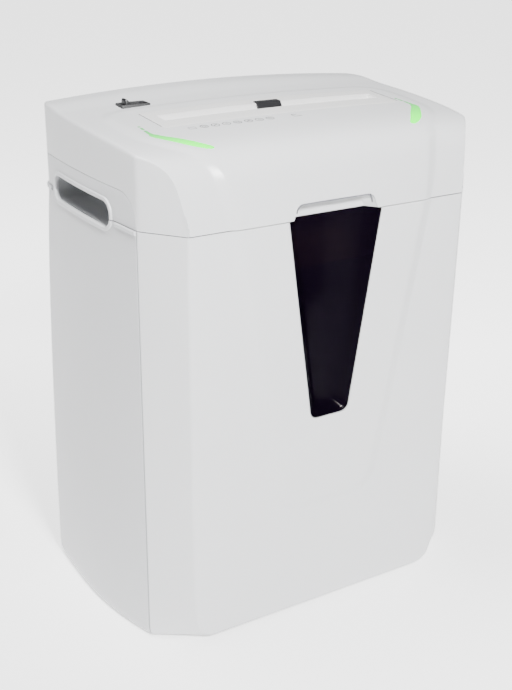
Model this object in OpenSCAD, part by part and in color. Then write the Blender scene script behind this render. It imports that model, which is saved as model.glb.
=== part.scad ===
// Free-standing paper shredder: a lift-off cutting head standing on a waste bin.
// Millimetres, +Z up, front at -Y; origin on the floor under the middle of the case.

/* [Case] */
// height of the joint line between bin and head
seam_z = 433; // [432:0.5:434]
// half width of the flat front face at the joint line
front_half = 155.7; // [150:0.5:160]
// half width at the corner where the front chamfer meets the side
corner_half = 186.6; // [183:0.5:189]
// depth behind the front face of that corner
corner_back = 39.8; // [34:0.5:44]
// front face of the case at the joint line
front_y = -130.7; // [-134:0.1:-128]
// back face of the case
back_y = 135; // [132:0.5:138]
// radius of the two back corners
back_r = 36; // [28:1:44]
// wall of the moulded shells
wall = 3; // [2.4:0.1:3.4]

/* [Centre panel and window] */
// how far the centre panel stands proud
proud = 3; // [2:0.1:4]
// half width of the centre panel at the joint line
panel_half = 105; // [100:0.5:110]
// half width of the centre panel at its foot
panel_foot = 50.7; // [45:0.5:56]
// height of the foot of the centre panel
panel_foot_z = 132; // [120:1:150]
// run of the bevel round the centre panel
panel_bevel = 14.5; // [10:0.5:17]
// half width of the window at the joint line
window_half = 52.9; // [48:0.5:56]
// half width of the window at its foot
window_foot = 22; // [18:0.5:26]
// height of the foot of the window
window_foot_z = 224; // [200:1:240]
// depth of the window tray behind the panel face
window_deep = 12; // [9:0.5:14]

/* [Throat] */
// middle of the paper slot, front to back
slot_y = -17; // [-20:0.5:-14]
// middle of the throat and cutters, left to right
throat_x = 6; // [0:0.5:8]
// length of the paper funnel
slot_len = 250; // [240:1:254]
// half length of the throat plate
throat_half = 137; // [134:1:138]

/* [Cutters] */
// distance between the two cutter shafts
shaft_gap = 44; // [44:1:44]
// height of the cutter shafts
shaft_z = 466; // [465:0.5:466.5]
// outer radius of a cutter disc
disc_r = 24.5; // [23.5:0.1:24.8]
// spacing of the discs along one shaft
disc_pitch = 9; // [8.8:0.1:9]
// thickness of a disc
disc_t = 3.6; // [3:0.1:3.8]
// discs on one shaft
disc_n = 25; // [21:1:25]

/* [Rocker] */
// middle of the rocker switch, left to right
rocker_x = -118; // [-119:0.5:-114]
// middle of the rocker switch, front to back
rocker_y = 55; // [54:0.5:58]

/* [Hidden] */
shell_white = [0.86, 0.87, 0.88];
shell_grey = [0.76, 0.77, 0.79];
trim_black = [0.05, 0.05, 0.06];
steel = [0.62, 0.63, 0.65];
crown_half = 192;
tilt = 0.628;
e = 0.01;
corner_y = front_y + corner_back;
grip_y0 = -44;
grip_y1 = 85;
grip_z0 = 424;
grip_z1 = 449;
grip_r = 11;
y_front_shaft = slot_y - shaft_gap / 2;
y_rear_shaft = slot_y + shaft_gap / 2;
idler_a = -10;
idler_y = y_rear_shaft + 42 * cos(idler_a);
idler_z = shaft_z + 42 * sin(idler_a);
motor_a = 30;
motor_y = idler_y + 30 * cos(motor_a);
motor_z = idler_z + 30 * sin(motor_a);
plate_x = 122;
seam_side_z = 465.5;
// rows of the bin: height, widest half width, flat front half width, extra inset
BIN_ROWS = [[2, 206, 130, 3], [5, 206, 137, 1.2], [10, 206, 143, 0.3], [18, 206, 147, 0],
  [30, 205.8, 150, 0], [62, 205.5, 152.5, 0], [190, 203.3, 154, 0], [310, 200, 155, 0],
  [397, 196, 155.5, 0], [432.5, 193.3, 155.7, 0]];
// head profile: depth behind the front face, height
HEAD_ROWS = [[0, 433], [2, 450], [4.9, 464], [8, 476], [11, 484], [15, 490.5], [21, 496.5],
  [30, 501.5], [48, 506], [72, 509], [101, 511.5], [141, 514.5], [193, 518.3], [232, 522.4],
  [248, 522.4], [258, 519], [264, 512], [265.7, 503]];

// half width of the side wall at depth y
function side_x(y, mid, cor) = y < 25
  ? mid - (mid - cor) * pow((25 - y) / (25 - corner_y), 2)
  : mid - 2.3 * pow((y - 25) / 74, 2);
function half_plan(mid, flat, d, df, fy) = let (cor = min(corner_half, mid - 6),
    bc = back_y - back_r, cx = side_x(bc, mid, cor) - back_r)
  concat([[flat - 0.49 * df, fy + df], [cor - d, corner_y + 0.342 * df]],
    [for (y = [-60, -30, 0, 30, 65]) [side_x(y, mid, cor) - d, y]],
    [for (a = [0:15:90]) [cx + (back_r - d) * cos(a), bc + (back_r - d) * sin(a)]]);
function mirror_x(p) = [for (i = [len(p) - 1:-1:0]) [-p[i][0], p[i][1]]];
function plan(mid, flat, d, df, fy) = let (h = half_plan(mid, flat, d, df, fy))
  concat(h, mirror_x(h));
function front_at(z) = front_y + (seam_z - z) * tan(tilt);
function v_side(half, foot, foot_z, z) = foot + (half - foot) * (z - foot_z) / (seam_z - foot_z);
// V outline in X and Z: straight sides, rounded feet, from its foot to z1, grown by g
function v_shape(half, foot, foot_z, z1, r, g) = let (s = (half - foot) / (seam_z - foot_z),
    z0 = foot_z - g, x0 = foot + g, x1 = foot + g + s * (z1 - foot_z),
    h = concat([for (a = [-90:22.5:0]) [x0 - r + r * cos(a), z0 + r + r * sin(a)]], [[x1, z1]]))
  concat(h, mirror_x(h));
function teeth_points(n, m) = [for (i = [0:n - 1]) for (k = [0:3])
  let (a = 360 / n * (i + [-0.3, -0.13, 0.13, 0.3][k]),
    r = n * m / 2 + [-1.15, 0.9, 0.9, -1.15][k] * m) [r * cos(a), r * sin(a)]];
function saw_points(n, r) = [for (i = [0:n - 1]) for (k = [0:3])
  let (a = 360 / n * (i + [0, 0.04, 0.5, 0.96][k]), q = [r - 4, r, r - 1, r - 3][k])
  [q * cos(a), q * sin(a)]];
function boomerang(s) = [for (p = [[152, -10], [155, -44], [157, -54], [141, -78], [133, -88],
  [118, -98], [109, -95], [117, -86], [130, -69], [149, -48], [149, -30], [148.5, -10]])
  [throat_x - 6.9 - 2 * s + s * p[0], p[1] - 4.5]];

module x_cyl(r, x0, x1, y, z, fn = 48) {
  translate([x0, y, z])
    rotate([0, 90, 0])
      cylinder(r = r, h = x1 - x0, $fn = fn);
}
module y_cyl(r, x, y0, y1, z, fn = 32) {
  translate([x, y0, z])
    rotate([-90, 0, 0])
      cylinder(r = r, h = y1 - y0, $fn = fn);
}
module z_cyl(r, x, y, z0, z1, fn = 32) {
  translate([x, y, z0])
    cylinder(r = r, h = z1 - z0, $fn = fn);
}
module block(x0, x1, y0, y1, z0, z1) {
  translate([x0, y0, z0])
    cube([x1 - x0, y1 - y0, z1 - z0]);
}
module round_rect(y0, y1, z0, z1, r) {
  union() {
    for (y = [y0 + r, y1 - r]) {
      for (z = [z0 + r, z1 - r]) {
        translate([y, z])
          circle(r = r, $fn = 32);
      }
    }
    translate([y0 + r, z0])
      square([y1 - y0 - 2 * r, z1 - z0]);
    translate([y0, z0 + r])
      square([y1 - y0, z1 - z0 - 2 * r]);
  }
}
// everything that hangs between the two cutter plates
module mech() {
  translate([throat_x - 2, 0, 0])
    children();
}
// a shape drawn in Y and Z, pushed along X from x0 to x1
module along_x(x0, x1) {
  translate([x0, 0, 0])
    rotate([90, 0, 90])
      linear_extrude(x1 - x0)
        children();
}
// a shape drawn in X and Z, laid on the tilted front face, y0 to y1 behind it
module on_front(y0, y1) {
  translate([0, front_y, seam_z])
    rotate([tilt, 0, 0])
      translate([0, y1, -seam_z])
        rotate([90, 0, 0])
          linear_extrude(y1 - y0)
            children();
}
module x_gear(n, m, x0, x1, y, z, a, gap) {
  translate([x0, y, z])
    rotate([0, 90, 0])
      rotate([0, 0, a + 90 + gap * 180 / n])
        linear_extrude(x1 - x0)
          polygon(teeth_points(n, m));
}

module bin_solid(d, df) {
  hull() {
    for (r = BIN_ROWS) {
      translate([0, 0, r[0]])
        linear_extrude(0.5)
          polygon(plan(r[1], r[2], d + r[3], df + r[3], front_at(r[0])));
    }
  }
}
module bin_inside() {
  hull() {
    for (r = BIN_ROWS) {
      low = r[0] < 30 ? 1 : 0;
      translate([0, 0, r[0] + 5 * low])
        linear_extrude(r[0] > 430 ? 10 : 0.5)
          polygon(plan(r[1], r[2] - 2, wall + r[3] + low, 2 * wall + 0.4 + r[3] + low,
            front_at(r[0])));
    }
  }
}
// ring round one grip opening, standing proud of the side
module grip_ring() {
  for (s = [-1, 1]) {
    along_x(s * 193 - 6, s * 193 + 6)
      difference() {
        round_rect(grip_y0 - 4, grip_y1 + 4, grip_z0 - 4, grip_z1 + 4, grip_r + 4);
        round_rect(grip_y0, grip_y1, grip_z0, grip_z1, grip_r);
      }
  }
}
module bin_tub() {
  color(shell_grey) difference() {
    union() {
      bin_solid(0, 0);
      difference() {
        translate([0, 0, 429])
          linear_extrude(4)
            polygon(plan(193.3, front_half, -2, 0, front_y));
        block(-220, 220, -160, corner_y + 4, 420, 440);
      }
      intersection() {
        bin_solid(-1.8, 0);
        grip_ring();
        block(-220, 220, -60, 100, 400, 433);
      }
    }
    difference() {
      block(-220, 220, -160, corner_y + 2, 1, 440);
      bin_solid(wall, wall + 0.4);
    }
    bin_inside();
    on_front(-10, 40)
      polygon(v_shape(window_half, window_foot, window_foot_z, seam_z + 20, 9, 3));
    for (s = [-1, 1]) {
      along_x(s * 190 - 20, s * 190 + 20)
        round_rect(grip_y0, grip_y1, grip_z0, grip_z1 + 1, grip_r);
    }
    for (p = [[-70, 60], [70, 60], [-105, 300], [105, 300]]) {
      y_cyl(1.6, p[0], -140, -100, p[1], 24);
    }
  }
}
module bin_fascia() {
  color(shell_white) difference() {
    union() {
      difference() {
        intersection() {
          bin_solid(0, 0);
          block(-220, 220, -160, corner_y + 1.2, 3, 440);
        }
        bin_solid(wall, wall + 0.4);
      }
      hull() {
        on_front(-0.05, 1.2)
          polygon(v_shape(panel_half, panel_foot, panel_foot_z, seam_z - 1.2, 22, panel_bevel));
        on_front(-proud, -proud + e)
          polygon(v_shape(panel_half, panel_foot, panel_foot_z, seam_z - 1.2, 18, 0));
      }
    }
    hull() {
      on_front(-proud - 0.5, -proud)
        polygon(v_shape(window_half, window_foot, window_foot_z, seam_z + 9, 9, 0.5));
      on_front(wall + 2, wall + 3)
        polygon(v_shape(window_half - 7.5, window_foot - 7, window_foot_z + 7, seam_z + 9, 9, 0.5));
    }
  }
}
module window_shape(t, z1) {
  hull() {
    on_front(-proud, -proud + e)
      polygon(v_shape(window_half - t, window_foot - t, window_foot_z + t, z1, 9, 0));
    on_front(window_deep - proud - t, window_deep - proud - t + e)
      polygon(v_shape(window_half - window_deep, window_foot - window_deep + 1,
        window_foot_z + window_deep, z1, 7, 0));
  }
}
module window_tray() {
  color([0.07, 0.05, 0.08]) difference() {
    window_shape(0, seam_z - 0.5);
    window_shape(2, seam_z + 5);
  }
}
module bin_feet() {
  color(trim_black) for (x = [-1, 1]) {
    for (y = [-84, 98]) {
      z_cyl(11, x * 150, y, 0, 2);
    }
  }
}
module fascia_screws() {
  color(steel) for (p = [[-70, 60], [70, 60], [-105, 300], [105, 300]]) {
    y_cyl(3, p[0], front_at(p[1]) + 6.5, front_at(p[1]) + 8.5, p[1], 24);
    y_cyl(1.5, p[0], front_at(p[1]) + wall + 0.5, front_at(p[1]) + 6.5, p[1], 24);
  }
}
module striker() {
  color(shell_grey) union() {
    block(-9, 9, 122, 130.2, 412, 428);
    block(-5, 5, 122, 127, 428, 440);
  }
}

module head_solid(d, df) {
  intersection() {
    hull() {
      for (x = [-200:40:200]) {
        along_x(x - 2, x + 2)
          polygon(concat([[front_y + df, 380]],
            [for (r = HEAD_ROWS) [front_y + r[0] + df * (1 - r[0] / 133),
              r[1] - d - (3 + 6.5 * pow(r[0] / 265, 2)) * pow(x / crown_half, 2)]],
            [[back_y - d, 380]]));
      }
    }
    translate([0, 0, seam_z])
      linear_extrude(120)
        polygon(plan(193.3, front_half, d, df, front_y));
  }
}
module side_zone(g) {
  along_x(-230, 230)
    polygon(concat([[corner_y + 1.4 + g, 380], [corner_y + 1.4 + g, seam_z + 5]],
      [for (a = [165:-15:90]) [corner_y + 28 + (26.6 - g) * cos(a),
        seam_side_z - 26.6 + (26.6 - g) * sin(a)]],
      [[230, seam_side_z - g], [230, 380]]));
}
// raised field on the head: its outline from above, and its V outline on the front
function plateau_side(g) = concat([[122 + g, -112], [139 + g, -106], [152 + g, -92],
  [163 + g, -76], [172 + g, -50], [174 + g, -10]],
  [for (a = [0:22.5:90]) [140 + (34 + g) * cos(a), 15 + (34 + g) * sin(a)]]);
module plateau(g) {
  intersection() {
    union() {
      translate([0, 0, 470])
        linear_extrude(70)
          polygon(concat(plateau_side(g), mirror_x(plateau_side(g))));
      translate([0, -104, 0])
        rotate([90, 0, 0])
          linear_extrude(40)
            polygon(concat([[119 + g, seam_z], [127 + g, 468], [131 + g, 486], [139 + g, 496],
              [139 + g, 520]], mirror_x([[119 + g, seam_z], [127 + g, 468], [131 + g, 486],
              [139 + g, 496], [139 + g, 520]])));
    }
    head_solid(-1.8, -proud + 1);
  }
}
module notch_shape(g) {
  polygon(concat([[48 + g, seam_z - 2]],
    [for (a = [15:25:90]) [37 + (8 + g) * cos(a), seam_z + 7 + (8 + g) * sin(a)]],
    mirror_x(concat([[48 + g, seam_z - 2]],
      [for (a = [15:25:90]) [37 + (8 + g) * cos(a), seam_z + 7 + (8 + g) * sin(a)]]))));
}
module head_cover() {
  color(shell_white) difference() {
    union() {
      head_solid(0, 0);
      plateau(-5);
    }
    difference() {
      head_solid(wall, wall);
      block(-56, 56, -140, -114, seam_z, seam_z + 20);
      for (s = [-1, 1]) {
        block(s * 122 - 9, s * 122 + 9, -104, -82, 474, 505);
        block(s * 160 - 8, s * 160 + 8, 90, 106, 474, 512);
      }
    }
    side_zone(0);
    block(-220, 220, -160, 160, seam_z - 5, seam_z + 0.8);
    translate([0, front_y + window_deep - proud, 0])
      rotate([90, 0, 0])
        linear_extrude(30)
          notch_shape(0);
    block(throat_x - throat_half - 0.4, throat_x + throat_half + 0.4, -39.4, 19.4, 480, 540);
    block(rocker_x - 15.8, rocker_x + 15.8, rocker_y - 8.8, rocker_y + 8.8, 480, 540);
    for (s = [-1, 1]) {
      translate([0, 0, 491.5])
        linear_extrude(50)
          polygon(boomerang(s));
      z_cyl(1.6, s * 122, -91, 470, 488, 24);
      z_cyl(1.6, s * 160, 98, 470, 500, 24);
    }
  }
}
module head_base() {
  color(shell_grey) difference() {
    union() {
      intersection() {
        union() {
          head_solid(0, 0);
          intersection() {
            head_solid(-1.8, 0);
            grip_ring();
          }
        }
        side_zone(0.5);
        block(-220, 220, corner_y, 160, seam_z + 0.8, 480);
      }
      intersection() {
        translate([0, 0, seam_z])
          linear_extrude(3)
            polygon(plan(193.3, front_half, 0.8, 0.8, front_y));
        union() {
          block(-220, 220, corner_y + 2.4, 160, 430, 440);
          translate([0, 0, seam_z - 1])
            linear_extrude(6)
              polygon(plan(193.3, front_half, wall + 1.5, wall + 1, front_y));
        }
      }
    }
    difference() {
      head_solid(wall, wall);
      block(-220, 220, -160, 160, seam_z - 1, seam_z + 3);
      for (s = [-1, 1]) {
        z_cyl(7, s * 122, -91, seam_z + 1, 473.9);
        z_cyl(7, s * 160, 98, seam_z + 1, 473.9);
      }
    }
    block(-60, 60, -140, -112, 430, 440);
    mech() block(-plate_x + 3, plate_x - 3, y_front_shaft - 28, y_rear_shaft + 28, 430, 440);
    block(throat_x + plate_x + 11.5, throat_x + plate_x + 34, -32, 75, 430, 440);
    for (s = [-1, 1]) {
      along_x(s * 190 - 20, s * 190 + 20)
        round_rect(grip_y0, grip_y1, grip_z0, grip_z1, grip_r);
      block(s * 175.8 - 14.8, s * 175.8 + 14.8, grip_y0 - 3.4, grip_y1 + 3.4, 430, 437);
      z_cyl(1.6, s * 122, -91, 430, 480, 24);
      z_cyl(1.6, s * 160, 98, 430, 480, 24);
    }
    block(-8, 8, 118, 130, 430, 440);
    y_cyl(8, -120, 120, 150, 450);
  }
}
module head_inner_prism() {
  translate([0, 0, 400])
    linear_extrude(80)
      polygon(plan(193.3, front_half, wall + 1.6, wall, front_y));
}
// rounded pocket behind one grip opening, open on the outside
module grip(s) {
  difference() {
    union() {
      intersection() {
        along_x(s * 177.5 - 14.5, s * 177.5 + 14.5)
          round_rect(grip_y0 - 3, grip_y1 + 3, grip_z0 - 3, grip_z1 + 3, grip_r + 3);
        head_inner_prism();
      }
    }
    along_x(s * 192.5 - 27.5, s * 192.5 + 27.5)
      round_rect(grip_y0, grip_y1, grip_z0, grip_z1, grip_r);
  }
}
module grip_left() {
  color(shell_grey) grip(-1);
}
module grip_right() {
  color(shell_grey) grip(1);
}
module throat_insert() {
  color(shell_white) difference() {
    intersection() {
      head_solid(-1.8, -1);
      block(throat_x - throat_half, throat_x + throat_half, -39, 19, 501, 540);
    }
    translate([throat_x, 0, 0]) {
      block(-throat_half + 3, throat_half - 3, -36, slot_y - 9, 490, 505);
      block(-throat_half + 3, throat_half - 3, slot_y + 21, 16, 490, 506);
      along_x(-slot_len / 2 + 5, slot_len / 2 - 5)
        polygon([[slot_y - 4, 480], [slot_y + 5.5, 480], [slot_y + 5.5, 502], [slot_y + 18.5, 516.5],
          [slot_y + 18.5, 540], [slot_y - 1, 540], [slot_y - 1, 507], [slot_y - 4, 502]]);
      block(-14, 14, slot_y + 5, slot_y + 19, 490, 540);
    }
  }
}
module sensor_block() {
  color(trim_black) translate([throat_x, 0, 0]) difference() {
    block(-13.8, 13.8, slot_y + 5.6, slot_y + 18.8, 496, 516.6);
    along_x(-20, 20)
      polygon([[slot_y, 480], [slot_y + 5.9, 480], [slot_y + 5.9, 502], [slot_y + 12, 509.5],
        [slot_y + 13.5, 520], [slot_y, 520]]);
    block(-11, 11, slot_y + 13.5, slot_y + 17, 490, 509);
  }
}
module light_pipe(s) {
  color([0.35, 0.95, 0.35]) difference() {
    intersection() {
      translate([0, 0, 480])
        linear_extrude(60)
          polygon(boomerang(s));
      head_solid(-1.8, -1);
    }
    head_solid(2.4, 2.4);
  }
}
module light_pipe_left() {
  light_pipe(-1);
}
module light_pipe_right() {
  light_pipe(1);
}
module led_boards() {
  for (s = [-1, 1]) {
    color([0.1, 0.35, 0.2]) block(4 + s * 139 - 6, 4 + s * 139 + 6, -79, -56, 490, 491.6);
    color([0.9, 0.95, 0.9]) block(4 + s * 139 - 3, 4 + s * 139 + 3, -70, -64, 491.6, 494);
  }
}
module switch_bezel() {
  color(trim_black) difference() {
    union() {
      block(rocker_x - 15.6, rocker_x + 15.6, rocker_y - 8.6, rocker_y + 8.6, 511, 517.4);
      block(rocker_x - 14.8, rocker_x + 14.8, rocker_y - 6.8, rocker_y + 6.8, 486, 511);
    }
    block(rocker_x - 13.4, rocker_x + 13.4, rocker_y - 5.2, rocker_y + 5.2, 489, 520);
  }
}
// paddle hollowed across the top, one end up and one end down
module rocker() {
  color([0.03, 0.03, 0.035]) translate([rocker_x, 0, 511]) union() {
    rotate([90, 0, 0])
      translate([0, 0, -rocker_y - 4.8])
        linear_extrude(9.6)
          polygon([[-10.2, -3.4], [-10.5, 10.2], [-8.5, 11.6], [-4.8, 6.4], [0, 4.6], [5.6, 4.3],
            [10.7, 6.1], [10.2, 1.6], [5, -8], [-5, -8]]);
  }
  color([0.03, 0.03, 0.035]) y_cyl(2, rocker_x, rocker_y - 5.16, rocker_y - 4.8, 511, 24);
  color([0.03, 0.03, 0.035]) y_cyl(2, rocker_x, rocker_y + 4.8, rocker_y + 5.16, 511, 24);
}
module chute() {
  color([0.72, 0.71, 0.68]) mech() difference() {
    union() {
      block(-plate_x - 6, plate_x + 6, y_front_shaft - 34, y_rear_shaft + 34, 363, seam_z);
      block(-plate_x - 10, plate_x + 10, y_front_shaft - 40, y_rear_shaft + 40, seam_z - 3, seam_z);
    }
    block(-plate_x - 3.5, plate_x + 3.5, y_front_shaft - 31.5, y_rear_shaft + 31.5, 360, 440);
  }
}
module plate_blank(x0, y1) {
  block(x0, x0 + 3, y_front_shaft - 27, y1, seam_z + 3, 498);
}
module plate_holes(x0) {
  for (y = [y_front_shaft, y_rear_shaft]) {
    x_cyl(9, x0 - 1, x0 + 4, y, shaft_z);
  }
  for (y = [y_front_shaft - 22, y_rear_shaft + 22]) {
    for (z = [shaft_z - 22, shaft_z + 26]) {
      x_cyl(3, x0 - 1, x0 + 4, y, z, 24);
    }
  }
}
module side_plate_left() {
  color(steel) mech() difference() {
    plate_blank(-plate_x - 3, y_rear_shaft + 27);
    plate_holes(-plate_x - 3);
  }
}
module side_plate_right() {
  color(steel) mech() difference() {
    union() {
      plate_blank(plate_x, y_rear_shaft + 27);
      block(plate_x, plate_x + 3, y_rear_shaft + 26, motor_y + 30, seam_z + 3, 498);
    }
    plate_holes(plate_x);
    x_cyl(4, plate_x - 1, plate_x + 4, idler_y, idler_z, 24);
    x_cyl(8, plate_x - 1, plate_x + 4, motor_y, motor_z);
    for (a = [45, 225]) {
      x_cyl(1.6, plate_x - 1, plate_x + 4, motor_y + 18 * cos(a), motor_z + 18 * sin(a), 24);
    }
  }
}
module tie_rods() {
  color(steel) mech() for (y = [y_front_shaft - 22, y_rear_shaft + 22]) {
    for (z = [shaft_z - 22, shaft_z + 26]) {
      x_cyl(4, -plate_x, plate_x, y, z, 24);
      x_cyl(3, -plate_x - 6, plate_x + 6, y, z, 24);
    }
  }
}
module rod_nuts() {
  color([0.5, 0.5, 0.52]) mech() for (y = [y_front_shaft - 22, y_rear_shaft + 22]) {
    for (z = [shaft_z - 22, shaft_z + 26]) {
      for (x = [-plate_x - 6.5, plate_x + 3]) {
        difference() {
          x_cyl(5, x, x + 3.5, y, z, 6);
          x_cyl(3, x - 1, x + 5, y, z, 24);
        }
      }
    }
  }
}
// fingers reaching between the discs of one shaft
module comb(y_rod, s, x_first, n) {
  color([0.2, 0.2, 0.22]) mech() union() {
    difference() {
      block(-118, 118, y_rod - 4, y_rod + 4, shaft_z - 26, shaft_z + 26);
      for (z = [shaft_z - 22, shaft_z + 26]) {
        x_cyl(4.05, -120, 120, s > 0 ? y_front_shaft - 22 : y_rear_shaft + 22, z, 24);
      }
    }
    for (i = [0:n - 1]) {
      block(x_first + i * disc_pitch - 1.6, x_first + i * disc_pitch + 1.6,
        min(y_rod, y_rod + s * 14), max(y_rod, y_rod + s * 14), shaft_z - 8, shaft_z + 8);
    }
  }
}
module comb_front() {
  comb(y_front_shaft - 30.5, 1, -(disc_n - 1) / 2 * disc_pitch + disc_pitch / 2, disc_n - 1);
}
module comb_rear() {
  comb(y_rear_shaft + 30.5, -1, -(disc_n - 1) / 2 * disc_pitch, disc_n - 1);
}
module disc_stack(y, x_first, n) {
  for (i = [0:n - 1]) {
    translate([x_first + i * disc_pitch - disc_t / 2, y, shaft_z])
      rotate([0, 90, 0])
        rotate([0, 0, i * 26])
          linear_extrude(disc_t)
            polygon(saw_points(9, disc_r));
  }
}
module cutter_front() {
  color(steel) mech() union() {
    x_cyl(12, -118, 118, y_front_shaft, shaft_z, 6);
    x_cyl(6, -plate_x - 8, plate_x + 16, y_front_shaft, shaft_z);
    disc_stack(y_front_shaft, -(disc_n - 1) / 2 * disc_pitch, disc_n);
    x_gear(22, 2, plate_x + 7, plate_x + 14, y_front_shaft, shaft_z, 0, 0);
  }
}
module cutter_rear() {
  color(steel) mech() union() {
    x_cyl(12, -118, 118, y_rear_shaft, shaft_z, 6);
    x_cyl(6, -plate_x - 8, plate_x + 26, y_rear_shaft, shaft_z);
    disc_stack(y_rear_shaft, -(disc_n - 1) / 2 * disc_pitch + disc_pitch / 2, disc_n);
    x_gear(22, 2, plate_x + 7, plate_x + 14, y_rear_shaft, shaft_z, 180, 1);
    x_gear(44, 1.5, plate_x + 16, plate_x + 24, y_rear_shaft, shaft_z, idler_a, 1);
  }
}
module bushes() {
  color([0.72, 0.55, 0.3]) mech() for (y = [y_front_shaft, y_rear_shaft]) {
    for (x = [-plate_x - 5, plate_x - 1]) {
      difference() {
        union() {
          x_cyl(9, x, x + 6, y, shaft_z);
          x_cyl(11, x < 0 ? x : x + 4, x < 0 ? x + 2 : x + 6, y, shaft_z);
        }
        x_cyl(6.05, x - 1, x + 7, y, shaft_z);
      }
    }
  }
}
module idler_gear() {
  color([0.85, 0.84, 0.78]) mech() difference() {
    union() {
      x_gear(12, 1.5, plate_x + 15, plate_x + 25.6, idler_y, idler_z, idler_a + 180, 0);
      x_gear(50, 1, plate_x + 26, plate_x + 33, idler_y, idler_z, motor_a, 0);
      x_cyl(6.5, plate_x + 15, plate_x + 26.5, idler_y, idler_z);
    }
    x_cyl(4.05, plate_x + 14, plate_x + 34, idler_y, idler_z);
  }
}
module idler_stud() {
  color(steel) mech() union() {
    x_cyl(4, plate_x, plate_x + 36, idler_y, idler_z);
    x_cyl(7, plate_x + 3, plate_x + 14.5, idler_y, idler_z);
    x_cyl(6, plate_x + 34, plate_x + 36, idler_y, idler_z);
  }
}
module motor_can() {
  color([0.42, 0.43, 0.46]) mech() difference() {
    x_cyl(29, 50, plate_x, motor_y, motor_z, 64);
    x_cyl(27, 49, plate_x - 3, motor_y, motor_z, 64);
    x_cyl(6, 40, plate_x + 1, motor_y, motor_z);
    for (a = [45, 225]) {
      x_cyl(1.6, plate_x - 4, plate_x + 4, motor_y + 18 * cos(a), motor_z + 18 * sin(a), 24);
    }
  }
}
module motor_cap() {
  color([0.16, 0.16, 0.17]) mech() difference() {
    union() {
      x_cyl(29, 46, 50, motor_y, motor_z, 64);
      x_cyl(27, 50, 54, motor_y, motor_z, 64);
      x_cyl(9, 42, 46, motor_y, motor_z);
    }
    x_cyl(3.55, 40, 56, motor_y, motor_z);
  }
}
module motor_rotor() {
  color(steel) mech() union() {
    x_cyl(3.5, 44, plate_x + 35, motor_y, motor_z);
    x_cyl(23, 60, plate_x - 12, motor_y, motor_z);
    x_gear(10, 1, plate_x + 26.5, plate_x + 34, motor_y, motor_z, motor_a + 180, 1);
  }
}
module motor_screws() {
  color([0.5, 0.5, 0.52]) mech() for (a = [45, 225]) {
    x_cyl(1.6, plate_x - 3, plate_x + 3, motor_y + 18 * cos(a), motor_z + 18 * sin(a), 24);
    x_cyl(3, plate_x + 3, plate_x + 5, motor_y + 18 * cos(a), motor_z + 18 * sin(a), 24);
  }
}
module control_board() {
  color([0.1, 0.35, 0.2]) union() {
    block(-120, -20, 72, 112, 441, 442.6);
  }
  color([0.9, 0.9, 0.9]) for (x = [-116, -24]) {
    for (y = [76, 108]) {
      z_cyl(3, x, y, 436, 441, 24);
    }
  }
}
module board_parts() {
  color([0.15, 0.2, 0.55]) block(-112, -94, 80, 96, 442.6, 458);
  color([0.2, 0.2, 0.2]) z_cyl(8, -78, 92, 442.6, 466);
  color([0.75, 0.7, 0.2]) block(-62, -40, 84, 100, 442.6, 460);
  color([0.9, 0.9, 0.88]) block(-34, -26, 78, 106, 442.6, 452);
}
module safety_switch() {
  color([0.12, 0.12, 0.13]) difference() {
    block(-10, 10, 117, 131, 446, 466);
    z_cyl(2.4, 0, 124.5, 440, 458, 24);
  }
  color([0.12, 0.12, 0.13]) for (x = [-14, 14]) {
    z_cyl(3, x, 124, 436, 447, 24);
    block(min(x, 0.7 * x), max(x, 0.7 * x), 121, 127, 447, 452);
  }
}
module safety_plunger() {
  color([0.8, 0.15, 0.12]) z_cyl(2.3, 0, 124.5, 440.3, 453, 24);
}
module cover_screws() {
  color(steel) for (p = [[-122, -91], [122, -91], [-160, 98], [160, 98]]) {
    z_cyl(3, p[0], p[1], 430, 433, 24);
    z_cyl(1.6, p[0], p[1], 433, 482, 24);
  }
}
module cord_gland() {
  color(trim_black) difference() {
    union() {
      y_cyl(8, -120, 128, 137.5, 450);
      y_cyl(11, -120, 135, 139, 450);
      y_cyl(10, -120, 126, 131.6, 450);
    }
    y_cyl(4, -120, 120, 145, 450);
  }
}

bin_tub();
bin_fascia();
window_tray();
bin_feet();
fascia_screws();
striker();
head_cover();
head_base();
grip_left();
grip_right();
throat_insert();
sensor_block();
light_pipe_left();
light_pipe_right();
led_boards();
switch_bezel();
rocker();
chute();
side_plate_left();
side_plate_right();
tie_rods();
rod_nuts();
comb_front();
comb_rear();
cutter_front();
cutter_rear();
bushes();
idler_gear();
idler_stud();
motor_can();
motor_cap();
motor_rotor();
motor_screws();
control_board();
board_parts();
safety_switch();
safety_plunger();
cover_screws();
cord_gland();
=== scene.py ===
import bmesh
import bpy
import math
import numpy as np
from mathutils import Vector, Matrix
from mathutils.geometry import tessellate_polygon


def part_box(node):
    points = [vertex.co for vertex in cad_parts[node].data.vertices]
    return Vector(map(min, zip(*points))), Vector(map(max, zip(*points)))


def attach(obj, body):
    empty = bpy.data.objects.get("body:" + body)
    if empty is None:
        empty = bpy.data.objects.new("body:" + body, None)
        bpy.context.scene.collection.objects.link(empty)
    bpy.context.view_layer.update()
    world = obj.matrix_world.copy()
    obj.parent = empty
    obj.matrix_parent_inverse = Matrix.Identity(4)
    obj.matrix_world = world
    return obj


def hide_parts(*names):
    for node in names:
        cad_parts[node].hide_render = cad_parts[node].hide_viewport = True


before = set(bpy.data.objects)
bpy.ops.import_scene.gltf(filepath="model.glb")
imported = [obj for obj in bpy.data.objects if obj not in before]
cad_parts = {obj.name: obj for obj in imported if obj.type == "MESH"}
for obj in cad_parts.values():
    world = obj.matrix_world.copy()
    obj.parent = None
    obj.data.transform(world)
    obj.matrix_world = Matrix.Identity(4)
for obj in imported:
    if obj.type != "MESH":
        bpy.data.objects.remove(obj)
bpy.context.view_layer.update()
MM = 0.001


def cad(node):
    lo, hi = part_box(node)
    return np.array(lo) * 1000, np.array(hi) * 1000


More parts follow.
